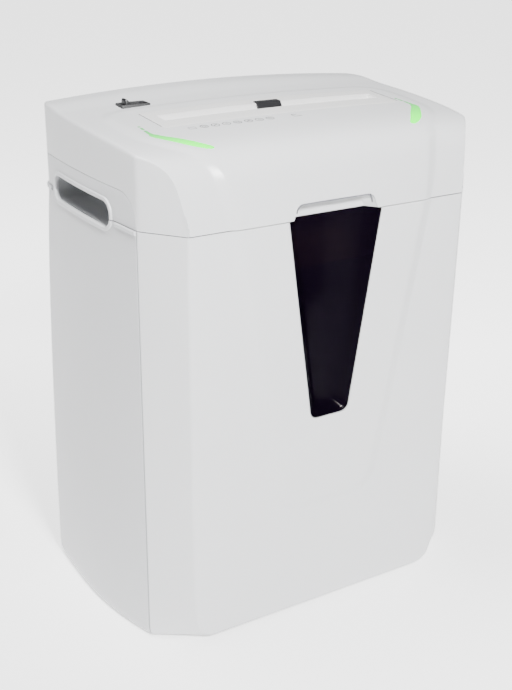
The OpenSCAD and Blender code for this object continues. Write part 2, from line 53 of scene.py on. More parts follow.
# ---------------------------------------------------------------- measures taken from the frame, in mm
BASE_LO, BASE_HI = cad("head_base")
THR_LO, THR_HI = cad("throat_insert")
BEZ_LO, BEZ_HI = cad("switch_bezel")
SEAM = BASE_LO[2]
BACK = BASE_HI[1]
FRONT = BACK - 265.7
SLANT_X, SLANT_Y = 30.9, 39.8
CORNER = FRONT + SLANT_Y
FLAT, HALF, HALF_CORNER = 155.7, 193.3, 186.6
BACK_R = 36.0
JOINT = 433.8
NOTCH_TOP = 448.01
HOLE = (-44, 85, 424, 449, 11)
PROUD = 3.0
TILT = math.tan(math.radians(0.628))
BIN_ROWS = np.array([[2, 206, 130, 3], [5, 206, 137, 1.2], [10, 206, 143, 0.3], [18, 206, 147, 0],
                     [30, 205.8, 150, 0], [62, 205.5, 152.5, 0], [190, 203.3, 154, 0],
                     [310, 200, 155, 0], [397, 196, 155.5, 0], [433, 193.3, 155.7, 0]], float)
HEAD_ROWS = np.array([[0, 433], [2, 450], [4.9, 464], [8, 476], [11, 484], [15, 490.5], [21, 496.5],
                      [30, 501.5], [48, 506], [72, 509], [101, 511.5], [141, 514.5], [193, 518.3],
                      [232, 522.4], [248, 522.4], [258, 519], [264, 512], [265.7, 503]], float)


def hermite(t, a, ma, b, mb):
    """Curve from a to b whose slopes at the ends are ma and mb."""
    return ((1 + 2 * t) * (1 - t) ** 2 * a + t * (1 - t) ** 2 * ma
            + t * t * (3 - 2 * t) * b + t * t * (t - 1) * mb)


def pchip(xs, ys, x):
    """Smooth curve through the rows that never overshoots them."""
    xs, ys, x = np.asarray(xs, float), np.asarray(ys, float), np.asarray(x, float)
    h = np.diff(xs)
    d = np.diff(ys) / h
    m = np.zeros(len(xs))
    for i in range(1, len(xs) - 1):
        if d[i - 1] * d[i] > 0:
            w1, w2 = 2 * h[i] + h[i - 1], h[i] + 2 * h[i - 1]
            m[i] = (w1 + w2) / (w1 / d[i - 1] + w2 / d[i])
    m[0], m[-1] = d[0], d[-1]
    k = np.clip(np.searchsorted(xs, x) - 1, 0, len(xs) - 2)
    t = (x - xs[k]) / h[k]
    t = np.clip(t, 0, 1)
    return hermite(t, ys[k], h[k] * m[k], ys[k + 1], h[k] * m[k + 1])


def side_x(y, mid, cor):
    y = np.asarray(y, float)
    return np.where(y < 25, mid - (mid - cor) * ((25 - y) / (25 - CORNER)) ** 2,
                    mid - 2.3 * ((y - 25) / 74) ** 2)


# ---------------------------------------------------------------- materials
def nodes_of(name):
    m = bpy.data.materials.new(name)
    m.use_nodes = True
    nt = m.node_tree
    b = nt.nodes["Principled BSDF"]
    return m, nt, b


def noise(nt, scale, detail=3.0, rough=0.55, vec=None):
    n = nt.nodes.new("ShaderNodeTexNoise")
    n.inputs["Scale"].default_value = scale
    n.inputs["Detail"].default_value = detail
    n.inputs["Roughness"].default_value = rough
    if vec is not None:
        nt.links.new(vec, n.inputs["Vector"])
    return n


def ramp(nt, src, stops):
    r = nt.nodes.new("ShaderNodeValToRGB")
    e = r.color_ramp.elements
    e[0].position, e[0].color = stops[0][0], stops[0][1]
    e[1].position, e[1].color = stops[1][0], stops[1][1]
    for p, c in stops[2:]:
        x = e.new(p)
        x.color = c
    nt.links.new(src, r.inputs["Fac"])
    return r


def remap(nt, src, lo, hi):
    r = nt.nodes.new("ShaderNodeMapRange")
    r.inputs["To Min"].default_value = lo
    r.inputs["To Max"].default_value = hi
    nt.links.new(src, r.inputs["Value"])
    return r.outputs["Result"]


def add_bump(nt, b, height, strength, distance, under=None):
    n = nt.nodes.new("ShaderNodeBump")
    n.inputs["Strength"].default_value = strength
    n.inputs["Distance"].default_value = distance
    nt.links.new(height, n.inputs["Height"])
    if under is not None:
        nt.links.new(under.outputs["Normal"], n.inputs["Normal"])
    nt.links.new(n.outputs["Normal"], b.inputs["Normal"])
    return n


def grey(v, tint=(1.0, 1.0, 1.0)):
    return (v * tint[0], v * tint[1], v * tint[2], 1.0)


def plastic(name, value, tint=(1, 1, 1), rough=(0.34, 0.46), grain=1500.0, bump=0.05, vary=0.03,
            dirt=0.0, spec=0.5):
    """Moulded plastic: spark-eroded grain, slow colour drift, faint handling marks."""
    m, nt, b = nodes_of(name)
    tc = nt.nodes.new("ShaderNodeTexCoord")
    obj = tc.outputs["Object"]
    slow = noise(nt, 5.0, 4.0, 0.6, obj)
    lo, hi = value * (1 - vary), value * (1 + vary * 0.6)
    col = ramp(nt, slow.outputs["Fac"], [(0.3, grey(lo, tint)), (0.7, grey(hi, tint))])
    out = col.outputs["Color"]
    if dirt > 0:
        spots = noise(nt, 60.0, 6.0, 0.75, obj)
        mask = ramp(nt, spots.outputs["Fac"], [(0.58, (1, 1, 1, 1)), (0.78, (1 - dirt,) * 3 + (1,))])
        mix = nt.nodes.new("ShaderNodeMix")
        mix.data_type = "RGBA"
        mix.blend_type = "MULTIPLY"
        mix.inputs["Factor"].default_value = 1.0
        nt.links.new(out, mix.inputs[6])
        nt.links.new(mask.outputs["Color"], mix.inputs[7])
        out = mix.outputs[2]
    nt.links.new(out, b.inputs["Base Color"])
    smear = noise(nt, 22.0, 5.0, 0.65, obj)
    nt.links.new(remap(nt, smear.outputs["Fac"], rough[0], rough[1]), b.inputs["Roughness"])
    fine = noise(nt, grain, 2.0, 0.5, obj)
    wave = noise(nt, 14.0, 2.0, 0.4, obj)
    grained = add_bump(nt, b, fine.outputs["Fac"], bump, 0.0004)
    add_bump(nt, b, wave.outputs["Fac"], 0.12, 0.0012, grained)
    b.inputs["Specular IOR Level"].default_value = spec
    return m


def metal(name, value, tint=(1, 1, 1), rough=(0.25, 0.42), stretch=(1, 40, 40), bump=0.1):
    """Worked metal: lay marks along one axis, tarnish and oil spots."""
    m, nt, b = nodes_of(name)
    tc = nt.nodes.new("ShaderNodeTexCoord")
    mp = nt.nodes.new("ShaderNodeMapping")
    mp.inputs["Scale"].default_value = stretch
    nt.links.new(tc.outputs["Object"], mp.inputs["Vector"])
    lay = noise(nt, 18.0, 4.0, 0.6, mp.outputs["Vector"])
    blot = noise(nt, 45.0, 5.0, 0.7, tc.outputs["Object"])
    col = ramp(nt, blot.outputs["Fac"], [(0.35, grey(value * 0.82, tint)), (0.65, grey(value, tint))])
    nt.links.new(col.outputs["Color"], b.inputs["Base Color"])
    b.inputs["Metallic"].default_value = 1.0
    nt.links.new(remap(nt, lay.outputs["Fac"], rough[0], rough[1]), b.inputs["Roughness"])
    add_bump(nt, b, lay.outputs["Fac"], bump, 0.0003)
    return m


COOL = (0.985, 0.995, 1.01)
M_WHITE = plastic("case_white", 0.60, COOL, (0.26, 0.38), 1300, 0.06, 0.02, 0.02)
M_GREY = plastic("case_grey", 0.55, (0.98, 0.99, 1.015), (0.30, 0.42), 1300, 0.07, 0.02, 0.03)
M_PLATE = plastic("throat_white", 0.64, (1.0, 0.995, 0.985), (0.24, 0.34), 1500, 0.04, 0.02, 0.02)
M_POCKET = plastic("grip_inside", 0.34, (0.97, 0.99, 1.02), (0.4, 0.5), 1200, 0.08, 0.04, 0.05)
M_CHUTE = plastic("chute_plain", 0.56, (1.0, 0.97, 0.92), (0.45, 0.6), 900, 0.1, 0.05, 0.1)
M_BLACK = plastic("black_switch", 0.016, (1, 1, 1.1), (0.22, 0.36), 1600, 0.06, 0.2, 0.0)
M_BLACKM = plastic("black_matt", 0.03, (1, 1, 1.05), (0.45, 0.6), 1200, 0.12, 0.2, 0.0)
M_RUBBER = plastic("rubber_feet", 0.02, (1, 1, 1), (0.7, 0.85), 700, 0.3, 0.25, 0.0, 0.3)
M_ACETAL = plastic("acetal_gear", 0.66, (1.0, 0.98, 0.9), (0.35, 0.45), 900, 0.06, 0.03, 0.05)
M_RED = plastic("red_acetal", 0.42, (1.0, 0.12, 0.09), (0.3, 0.4), 900, 0.06, 0.05, 0.0)
M_BOARD = plastic("board_mask", 0.2, (0.25, 1.0, 0.45), (0.25, 0.4), 500, 0.15, 0.15, 0.0)
M_PARTS = plastic("part_cases", 0.3, (0.25, 0.35, 1.0), (0.25, 0.4), 700, 0.08, 0.15, 0.0)
M_STEEL = metal("sheet_steel", 0.62, (1, 1, 1.01), (0.28, 0.45), (1, 30, 30))
M_CUTTER = metal("cutter_steel", 0.55, (1, 0.99, 0.97), (0.2, 0.38), (40, 2, 2), bump=0.15)
M_SCREW = metal("zinc_screw", 0.6, (1, 0.99, 0.95), (0.25, 0.4), (20, 20, 1))
M_BRONZE = metal("sintered_bronze", 0.6, (1.0, 0.72, 0.38), (0.4, 0.6), (20, 20, 20), bump=0.3)
M_CAN = metal("motor_can_zinc", 0.5, (1, 1, 1.02), (0.3, 0.45), (2, 30, 30))


def smoked():
    """Smoked clear styrene: dark body, clear-coat shine, a little light gets through."""
    m, nt, b = nodes_of("smoked_window")
    tc = nt.nodes.new("ShaderNodeTexCoord")
    n = noise(nt, 30.0, 4.0, 0.6, tc.outputs["Object"])
    nt.links.new(remap(nt, n.outputs["Fac"], 0.05, 0.12), b.inputs["Roughness"])
    b.inputs["Base Color"].default_value = (0.004, 0.002, 0.007, 1)
    b.inputs["Specular IOR Level"].default_value = 0.06
    clear = nt.nodes.new("ShaderNodeBsdfTransparent")
    tint = ramp(nt, n.outputs["Fac"], [(0.3, (0.36, 0.30, 0.29, 1)), (0.7, (0.39, 0.33, 0.31, 1))])
    nt.links.new(tint.outputs["Color"], clear.inputs["Color"])
    mix = nt.nodes.new("ShaderNodeMixShader")
    mix.inputs["Fac"].default_value = 0.42
    out = nt.nodes["Material Output"]
    nt.links.new(clear.outputs[0], mix.inputs[1])
    nt.links.new(b.outputs[0], mix.inputs[2])
    nt.links.new(mix.outputs[0], out.inputs["Surface"])
    wave = noise(nt, 25.0, 2.0, 0.5, tc.outputs["Object"])
    add_bump(nt, b, wave.outputs["Fac"], 0.03, 0.001)
    return m


def lens_green():
    """Edge-lit green light guide: brighter toward its wide end."""
    m, nt, b = nodes_of("green_guide")
    tc = nt.nodes.new("ShaderNodeTexCoord")
    sep = nt.nodes.new("ShaderNodeSeparateXYZ")
    nt.links.new(tc.outputs["Object"], sep.inputs[0])
    r = nt.nodes.new("ShaderNodeMapRange")
    r.inputs["From Min"].default_value = -0.040
    r.inputs["From Max"].default_value = -0.088
    nt.links.new(sep.outputs["Y"], r.inputs["Value"])
    col = ramp(nt, r.outputs["Result"], [(0.0, (0.10, 0.42, 0.13, 1)), (1.0, (0.02, 0.95, 0.02, 1))])
    nt.links.new(col.outputs["Color"], b.inputs["Base Color"])
    nt.links.new(col.outputs["Color"], b.inputs["Emission Color"])
    n = noise(nt, 90.0, 3.0, 0.5, tc.outputs["Object"])
    nt.links.new(remap(nt, r.outputs["Result"], 0.35, 1.5), b.inputs["Emission Strength"])
    nt.links.new(remap(nt, n.outputs["Fac"], 0.12, 0.25), b.inputs["Roughness"])
    add_bump(nt, b, n.outputs["Fac"], 0.1, 0.0003)
    return m


M_SMOKED = smoked()
M_GREEN = lens_green()
M_INK = plastic("printed_ink", 0.05, (1, 1, 1.02), (0.5, 0.6), 1500, 0.05, 0.1, 0.0)
# dark blue-grey for the strip under the finger notch's top lip: painted shadow
M_NOTCH_SHADE = plastic("notch_painted_shade", 0.16, (0.95, 0.97, 1.08), (0.3, 0.45), 900, 0.05, 0.1, 0.0)
M_GAP = plastic("gap_shadow", 0.03, (1, 1, 1.02), (0.6, 0.7), 900, 0.05, 0.1, 0.0, 0.2)


# ---------------------------------------------------------------- mesh helpers
def hand(s):
    return "left" if s < 0 else "right"


def unit(v):
    return v / np.linalg.norm(v)


def across(p0, p1):
    """Level direction square to the line between two points."""
    t = unit(np.array([p1[0] - p0[0], p1[1] - p0[1], 0.0]))
    return np.array([t[1], -t[0], 0.0])


def ring_faces(rings, n):
    """Faces between closed rings of n points that follow each other."""
    f = []
    for k in range(rings - 1):
        for i in range(n):
            j = (i + 1) % n
            f.append((k * n + i, k * n + j, (k + 1) * n + j, (k + 1) * n + i))
    return f


def cap(n, base=0):
    return tuple(range(base, base + n))


def piece(name, verts, faces, body, mat, nodes=(), smooth=True, angle=35.0):
    me = bpy.data.meshes.new(name)
    me.from_pydata([tuple(float(c) * MM for c in v) for v in verts], [],
                   [tuple(int(i) for i in f) for f in faces])
    me.validate()
    me.update()
    ob = bpy.data.objects.new(name, me)
    bpy.context.scene.collection.objects.link(ob)
    me.materials.append(mat)
    if smooth:
        me.polygons.foreach_set("use_smooth", [True] * len(me.polygons))
        me.set_sharp_from_angle(angle=math.radians(angle))
    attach(ob, body)
    if nodes:
        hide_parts(*nodes)
    return ob


def modify(ob, kind, **kw):
    m = ob.modifiers.new(kind.lower(), kind)
    for k, v in kw.items():
        setattr(m, k, v)
    return m


def bake(ob, angle=32.0):
    """Turns the modifiers into mesh and sets smooth shading with sharp creases."""
    dg = bpy.context.evaluated_depsgraph_get()
    me = bpy.data.meshes.new_from_object(ob.evaluated_get(dg))
    old = ob.data
    ob.modifiers.clear()
    ob.data = me
    bpy.data.meshes.remove(old)
    me.polygons.foreach_set("use_smooth", [True] * len(me.polygons))
    me.set_sharp_from_angle(angle=math.radians(angle))
    return ob


def grid_faces(nr, nc, base=0, keep=None, flip=False):
    out = []
    for i in range(nr - 1):
        for j in range(nc - 1):
            if keep is not None and not keep(i, j):
                continue
            a = base + i * nc + j
            b, c, d = a + 1, a + nc + 1, a + nc
            out.append((a, d, c, b) if flip else (a, b, c, d))
    return out


def drop_loose(verts, faces):
    used = sorted({i for f in faces for i in f})
    new = {o: k for k, o in enumerate(used)}
    return [verts[i] for i in used], [tuple(new[i] for i in f) for f in faces]


def outward(ob, centre):
    """Flips the faces if most of them look toward the centre."""
    c = np.array(centre) * MM
    s = 0.0
    for p in ob.data.polygons:
        s += p.area * float(np.dot(np.array(p.normal), np.array(p.center) - c))
    if s < 0:
        ob.data.flip_normals()
    return ob


# ---------------------------------------------------------------- head surface
def crown(x, y):
    """Drop of the head's top away from its middle line."""
    r = np.asarray(y, float) - FRONT
    return (3 + 6.5 * (r / 265.0) ** 2) * (np.asarray(x, float) / 192.0) ** 2


def profile():
    """Middle line of the head from the joint line over the top to the back: rows of (y, z)."""
    zs = [JOINT, 436, 438, 440, 441.5, 443, 444.5, 446, 447, 447.6, 448] + list(np.arange(450, 488.1, 2.4))
    k = HEAD_ROWS[:7]
    pts = [(FRONT + float(pchip(k[:, 1], k[:, 0], z)), z) for z in zs]
    # from there on follow a smooth curve by length
    c = HEAD_ROWS[4:]
    tt = np.concatenate([[0], np.cumsum(np.hypot(np.diff(c[:, 0]), np.diff(c[:, 1])))])
    start = tt[0] + 5.5
    s = np.concatenate([np.arange(start, 60, 2.0), np.arange(60, tt[-1] - 44, 3.0),
                        np.arange(tt[-1] - 44, tt[-1], 1.6), [tt[-1]]])
    for v in s:
        pts.append((FRONT + float(pchip(tt, c[:, 0], v)), float(pchip(tt, c[:, 1], v))))
    # keep it marching on
    out = [pts[0]]
    for p in pts[1:]:
        if p[0] > out[-1][0] + 0.02 or abs(p[1] - out[-1][1]) > 0.5:
            if p[0] >= out[-1][0]:
                out.append(p)
    return np.array(out)


def head_half(y):
    """Half width of the head at depth y, corners a little rounded."""
    y = np.asarray(y, float)
    bc = BACK - BACK_R
    cx = float(side_x(bc, HALF, HALF_CORNER)) - BACK_R
    front = FLAT + (y - FRONT) / SLANT_Y * SLANT_X
    side = side_x(y, HALF, HALF_CORNER)
    back = cx + np.sqrt(np.maximum(BACK_R ** 2 - np.maximum(y - bc, 0) ** 2, 0))
    w = np.where(y < CORNER, front, np.where(y < bc, side, back))
    # soften the side corner
    k = 3.0
    t = np.clip((y - (CORNER - k)) / (2 * k), 0, 1)
    a = FLAT + (CORNER - k - FRONT) / SLANT_Y * SLANT_X
    b = float(side_x(CORNER + k, HALF, HALF_CORNER))
    ma = SLANT_X / SLANT_Y * 2 * k
    mb = (float(side_x(CORNER + k + 1, HALF, HALF_CORNER)) - b) * 2 * k
    h = hermite(t, a, ma, b, mb)
    return np.where((y > CORNER - k) & (y < CORNER + k), h, w)


OUT_Y = [-106, -92, -76, -50, -10, 200]
OUT_X = [139, 152, 163, 172, 174, 174]
OUT_Z = [433, 468, 486, 496]
OUT_ZX = [119, 127, 131, 139]
IN_ZX = [105, 112, 116, 123]
IN_X = [123, 136, 149, 158, 160, 160]


def v_out(y, z):
    if z < 495 and y < -100:
        return float(pchip(OUT_Z, OUT_ZX, z))
    return float(pchip(OUT_Y, OUT_X, max(y, -106)))


def v_in(y, z):
    if z < 495 and y < -100:
        return float(pchip(OUT_Z, IN_ZX, z))
    return float(pchip(OUT_Y, IN_X, max(y, -106)))


def relief(x, y, z):
    """Height of the raised field above the plain head surface."""
    xi, xo = v_in(y, z), v_out(y, z)
    run = max((xo - xi) * 0.72, 6.0)
    r = 24.0
    dx, dy = abs(x) - xi, y - 34.0
    if dy > -r and dx > -r:
        d = math.hypot(max(dx + r, 0), max(dy + r, 0)) - r
    else:
        d = max(dx, dy)
    t = min(max(1 - d / (run if dy < dx else 10.0), 0), 1)
    high = PROUD if z < 480 else PROUD - (PROUD - 1.7) * min((z - 480) / 20.0, 1)
    t = t * t * (3 - 2 * t) * 0.12 + t * 0.88
    return high * t


def head_top(x, y):
    """Finished height of the head's top over a point."""
    r = y - FRONT
    c = HEAD_ROWS[5:16]
    z = float(pchip(c[:, 0], c[:, 1], r)) - float(crown(x, y))
    return z + relief(x, y, z + float(crown(x, y)))


PROF = profile()


def arch(y, start, radius, top, below):
    """Edge that is level at the front, rises round a quarter circle behind start and stays at top."""
    centre = CORNER + 28
    if y < CORNER + start:
        return below
    if y < centre:
        return (top - radius) + math.sqrt(max(radius ** 2 - (centre - y) ** 2, 0))
    return top


def head_cover():
    prof = PROF
    nrow = len(prof)
    half_cols = [("n", k / 12) for k in range(12)] + [("i", k / 20) for k in range(20)] + \
                [("o", k / 9) for k in range(9)] + [("w", t) for t in (0.0, 0.16, 0.34, 0.55, 1.0)]
    nh = len(half_cols)
    xs_all = []
    for y, z in prof:
        w = float(head_half(y))
        if z < 440:
            n = 48 - 3 * (z - 433) / 7
        elif z < NOTCH_TOP:
            n = 37 + math.sqrt(max(64 - (z - 440) ** 2, 0))
        else:
            n = 37 + 3 * min((z - 448) / 30, 1)
        vi, vo = v_in(y, z), v_out(y, z)
        if y > 100:
            s = w / float(head_half(100.0))
            vi, vo = vi * s, vo * s
        vo = min(vo, w - 6)
        vi = min(vi, vo - 6)
        xs = []
        for kind, t in half_cols:
            if kind == "n":
                xs.append(n * t)
            elif kind == "i":
                xs.append(n + (vi - n) * t)
            elif kind == "o":
                xs.append(vi + (vo - vi) * t)
            else:
                xs.append(vo + (w - vo) * t)
        full = [-v for v in xs[:0:-1]] + xs
        xs_all.append(full)
    nc = 2 * nh - 1
    P = np.zeros((nrow, nc, 3))
    for i, (y, z) in enumerate(prof):
        for j, x in enumerate(xs_all[i]):
            P[i, j] = (x, y, z - float(crown(x, y)))
    # the joint line runs level, so the crown fades out toward the bottom of the front
    for i, (_, z) in enumerate(prof):
        f = min(max((z - JOINT) / 12.0, 0), 1)
        P[i, :, 2] = z - (z - P[i, :, 2]) * f
    du = np.zeros_like(P)
    dv = np.zeros_like(P)
    du[:, 1:-1] = P[:, 2:] - P[:, :-2]
    du[:, 0], du[:, -1] = P[:, 1] - P[:, 0], P[:, -1] - P[:, -2]
    dv[1:-1] = P[2:] - P[:-2]
    dv[0], dv[-1] = P[1] - P[0], P[-1] - P[-2]
    N = np.cross(du, dv)
    N /= np.linalg.norm(N, axis=2, keepdims=True) + 1e-12
    Q = P.copy()
    for i, (y, z) in enumerate(prof):
        for j, x in enumerate(xs_all[i]):
            h = relief(x, y, z)
            if h > 0:
                Q[i, j] = P[i, j] + N[i, j] * h
    Q[0, :, 2] = JOINT
    verts = [tuple(v) for v in Q.reshape(-1, 3)]
    c0 = nh - 1
    thr = (THR_LO[0] + 6, THR_HI[0] - 6, THR_LO[1] + 6, THR_HI[1] - 5)
    rk = (BEZ_LO[0] + 3, BEZ_HI[0] - 3, BEZ_LO[1] + 2.6, BEZ_HI[1] - 2.6)

    def keep(i, j):
        if prof[i + 1][1] <= NOTCH_TOP and prof[i + 1][0] < -100 and c0 - 12 <= j < c0 + 12:
            return False
        cx, cy, cz = Q[i:i + 2, j:j + 2].mean(axis=(0, 1))
        if cz > 490:
            for a in (thr, rk):
                if a[0] < cx < a[1] and a[2] < cy < a[3]:
                    return False
        return True

    faces = grid_faces(nrow, nc, 0, keep)
    # side walls, down to the cover's lower edge
    top = 465.5
    levels = 7
    bases = {}
    for side in (0, nc - 1):
        base = len(verts)
        bases[side] = base
        for i in range(nrow):
            x, yy, zt = Q[i, side]
            zl = arch(yy, 1.4, 26.6, top, JOINT)
            for k in range(1, levels + 1):
                f = k / levels
                zz = zt + (zl - zt) * f
                if k == 1:
                    zz = zt - max(min(8.0, (zt - zl) * 0.5), (zt - zl) / levels)
                verts.append((x, yy, zz))

        def at(r, q):
            return r * nc + side if q == 0 else base + r * levels + q - 1

        for i in list(range(1, nrow - 1)) + [0]:
            for k in range(levels):
                a, b, c, d = at(i, k), at(i + 1, k), at(i + 1, k + 1), at(i, k + 1)
                faces.append((a, b, c, d) if side == 0 else (a, d, c, b))
    # back wall
    base = len(verts)
    r = nrow - 1
    for k in range(1, levels + 1):
        for j in range(nc):
            x, yy, zt = Q[r, j]
            verts.append((x, BACK, zt + (top - zt) * k / levels))

    def behind(q, jj):
        if q == 0:
            return r * nc + jj
        if jj in bases:
            return bases[jj] + r * levels + q - 1
        return base + (q - 1) * nc + jj

    for k in range(levels):
        for j in range(nc - 1):
            faces.append((behind(k, j), behind(k, j + 1), behind(k + 1, j + 1), behind(k + 1, j)))
    verts, faces = drop_loose(verts, faces)
    ob = piece("head_cover_shell", verts, faces, "head", M_WHITE, ("head_cover",))
    outward(ob, (0, 0, 470))
    modify(ob, "WELD", merge_threshold=0.00004)
    bake(ob, 40)
    soften(ob)
    modify(ob, "BEVEL", width=0.0042, segments=4, limit_method="WEIGHT", use_clamp_overlap=False)
    modify(ob, "SOLIDIFY", thickness=0.0026, offset=-1.0)
    bake(ob, 40)
    return ob


def soften(ob):
    """Weights for the rounding of sharp edges: full along the sides, none at the front and back."""
    bm = bmesh.new()
    bm.from_mesh(ob.data)
    lay = bm.edges.layers.float.get("bevel_weight_edge") or bm.edges.layers.float.new("bevel_weight_edge")
    for e in bm.edges:
        if len(e.link_faces) != 2:
            continue
        if math.degrees(e.calc_face_angle(0.0)) < 33:
            continue
        c = (e.verts[0].co + e.verts[1].co) / 2 * 1000
        if abs(c.x) < 60 or c.z < 452:
            continue
        a = min(max((c.y - (FRONT + 18)) / 34.0, 0), 1)
        b = min(max((BACK - 12 - c.y) / 22.0, 0), 1)
        e[lay] = min(a, b)
    bm.to_mesh(ob.data)
    bm.free()


def notch():
    """Pocket behind the finger notch: sloped cheeks, level ceiling and a back wall, and a dark strip under
    the top lip as painted shadow.
    """
    half = [(48, JOINT), (46.5, 437), (45, 440)] + \
        [(37 + 8 * math.cos(a), 440 + 8 * math.sin(a)) for a in np.linspace(0.2, math.pi / 2, 7)]
    ring = half + [(-x, z) for x, z in half[::-1]]
    deep = FRONT + 9.0
    v, f = [], []
    for x, z in ring:
        v.append((x, FRONT - PROUD + 0.4 + (z - 433) * 0.12, z))
    for x, z in ring:
        v.append((x * 0.985, FRONT - PROUD + 2.0 + (z - 433) * 0.12, z - 0.2))
    for x, z in ring:
        s = 1 if x > 0 else -1
        v.append((s * max(abs(x) - 8.5, 0), deep, z - (1.6 if z > 440 else 0)))
    n = len(ring)
    for k in range(2):
        for i in range(n - 1):
            f.append((k * n + i, k * n + i + 1, (k + 1) * n + i + 1, (k + 1) * n + i))
    f.append(cap(n, 2 * n))
    # dark strip along the notch's upper inner edge: painted shadow under the top lip
    sec = [(-1.1, -0.2), (1.1, -0.2), (0.9, 1.3), (-0.9, 1.3)]
    path = []
    for x, z in ring[2:-2]:
        path.append(((x * 0.955, FRONT - PROUD + 3.4, z - 0.9), (0, 1, 0), (0, 0, 1)))
    vv, ff = sweep(path, sec)
    piece("notch_painted_shadow", vv, ff, "head", M_NOTCH_SHADE)
    ob = piece("finger_notch", v, f, "head", M_WHITE, (), True, 30)
    outward(ob, (0, -200, 440))
    if ob.data.polygons[-1].normal.y > 0:
        ob.data.flip_normals()


def head_base():
    """Lower side panels and back of the head, with the grip openings cut through."""
    bc = BACK - BACK_R
    cx = float(side_x(bc, HALF, HALF_CORNER)) - BACK_R
    path = []
    ys = [CORNER + 2.0 + d for d in (0, 0.25, 0.7, 1.4, 2.4, 3.8, 5.6, 8, 11, 14.5, 18.5, 22.5, 26)]
    ys += list(np.arange(ys[-1] + 4, bc, 4.0))
    for y in ys:
        path.append((float(head_half(y)), y))
    for a in np.linspace(0, 90, 13):
        path.append((cx + BACK_R * math.cos(math.radians(a)), bc + BACK_R * math.sin(math.radians(a))))
    for x in np.linspace(cx, 0, 12)[1:]:
        path.append((x, BACK))
    path = path + [(-x, y) for x, y in path[-2::-1]]
    v, f = [], []
    lv = 5
    for x, y in path:
        t = arch(y, 1.9, 26.0, 465.0, 437.0)
        for k in range(lv + 1):
            v.append((x, y, JOINT + (t - JOINT) * k / lv))
    n = len(path)
    for i in range(n - 1):
        for k in range(lv):
            a = i * (lv + 1) + k
            f.append((a, a + 1, a + lv + 2, a + lv + 1))
    ob = piece("head_base_wall", v, f, "head", M_GREY, ("head_base",))
    outward(ob, (0, 0, 450))
    modify(ob, "SOLIDIFY", thickness=0.003, offset=-1.0)
    cut_grips(ob)
    bake(ob, 40)
    modify(ob, "BEVEL", width=0.0004, segments=2, limit_method="ANGLE", angle_limit=math.radians(60))
    bake(ob, 40)
    # deck under the head
    pts = [(x * 0.9955, y) for x, y in path]
    inner = 161.5
    pts = [(math.copysign(inner, px) if HOLE[0] - 3 < py < HOLE[1] + 3 and abs(px) > inner else px,
            py - 0.6 if py > 130 else py) for px, py in pts]
    lip, tray = FRONT + 3.6, -111.6
    pts = [(152, lip), (183, CORNER - 2)] + pts
    pts += [(-183, CORNER - 2), (-152, lip), (-62, lip), (-62, tray), (62, tray), (62, lip)]
    ox0, ox1 = THR_LO[0] + 16, THR_HI[0] - 16
    opening = [(ox0, -66), (ox1, -66), (ox1, 32), (ox0, 32)]
    deck = flat_with_hole(pts, opening, 433.0, 436.0)
    piece("head_base_deck", deck[0], deck[1], "head", M_GREY)


def flat_with_hole(outer, hole, z0, z1):
    loops = [[Vector((x, y, 0)) for x, y in outer], [Vector((x, y, 0)) for x, y in hole]]
    tris = tessellate_polygon(loops)
    flat = [p for l in loops for p in l]
    n = len(flat)
    v = [(p.x, p.y, z0) for p in flat] + [(p.x, p.y, z1) for p in flat]
    f = [tuple(t) for t in tris] + [tuple(i + n for i in t[::-1]) for t in tris]
    o = 0
    for l in loops:
        m = len(l)
        for i in range(m):
            a, b = o + i, o + (i + 1) % m
            f.append((a, b, b + n, a + n))
        o += m
    return v, f


def rounded(y0, y1, z0, z1, r, n=8):
    pts = []
    centres = ((y1 - r, z1 - r, 0), (y0 + r, z1 - r, 90), (y0 + r, z0 + r, 180), (y1 - r, z0 + r, 270))
    for cy, cz, a0 in centres:
        for k in range(n + 1):
            a = math.radians(a0 + 90 * k / n)
            pts.append((cy + r * math.cos(a), cz + r * math.sin(a)))
    return pts


def cutter(pts, x0, x1):
    n = len(pts)
    v = [(x0, y, z) for y, z in pts] + [(x1, y, z) for y, z in pts]
    f = [tuple(range(n))[::-1], tuple(range(n, 2 * n))]
    for i in range(n):
        j = (i + 1) % n
        f.append((i, j, j + n, i + n))
    me = bpy.data.meshes.new("cut")
    me.from_pydata([tuple(c * MM for c in p) for p in v], [], f)
    me.update()
    ob = bpy.data.objects.new("cut", me)
    bpy.context.scene.collection.objects.link(ob)
    return ob


def cut_grips(ob):
    tools = []
    for s in (-1, 1):
        c = cutter(rounded(*HOLE), s * 170 - 2, s * 215)
        if s < 0:
            c.data.flip_normals()
        tools.append(c)
        modify(ob, "BOOLEAN", operation="DIFFERENCE", object=c, solver="EXACT")
    bake(ob, 40)
    for c in tools:
        bpy.data.objects.remove(c)


def cut_switch(ob):
    """The cover's hole under the switch frame, so the paddle's low end has room."""
    cx, cy = (BEZ_LO[0] + BEZ_HI[0]) / 2, (BEZ_LO[1] + BEZ_HI[1]) / 2
    c = cutter([(cy - 8, 500), (cy + 8, 500), (cy + 8, 530), (cy - 8, 530)], cx - 14.9, cx + 14.9)
    bm = bmesh.new()
    bm.from_mesh(c.data)
    bmesh.ops.recalc_face_normals(bm, faces=bm.faces)
    bm.to_mesh(c.data)
    bm.free()
    modify(ob, "BOOLEAN", operation="DIFFERENCE", object=c, solver="EXACT")
    bake(ob, 40)
    bpy.data.objects.remove(c)


# ---------------------------------------------------------------- bin surface
def bin_row(z):
    c = BIN_ROWS
    return tuple(float(pchip(c[:, 0], c[:, k], z)) for k in (1, 2, 3))


def fillet(p0, p1, p2, r, n):
    """Points that round the corner p1."""
    a = unit(np.array(p0, float) - p1)
    b = unit(np.array(p2, float) - p1)
    th = math.acos(float(np.clip(np.dot(a, b), -1, 1)))
    d = r / math.tan(th / 2)
    c = np.array(p1) + (a + b) / np.linalg.norm(a + b) * r / math.sin(th / 2)
    s, e = np.array(p1) + a * d - c, np.array(p1) + b * d - c
    out = []
    for k in range(n + 1):
        t = k / n
        v = s * (1 - t) + e * t
        out.append(c + v / np.linalg.norm(v) * r)
    return out


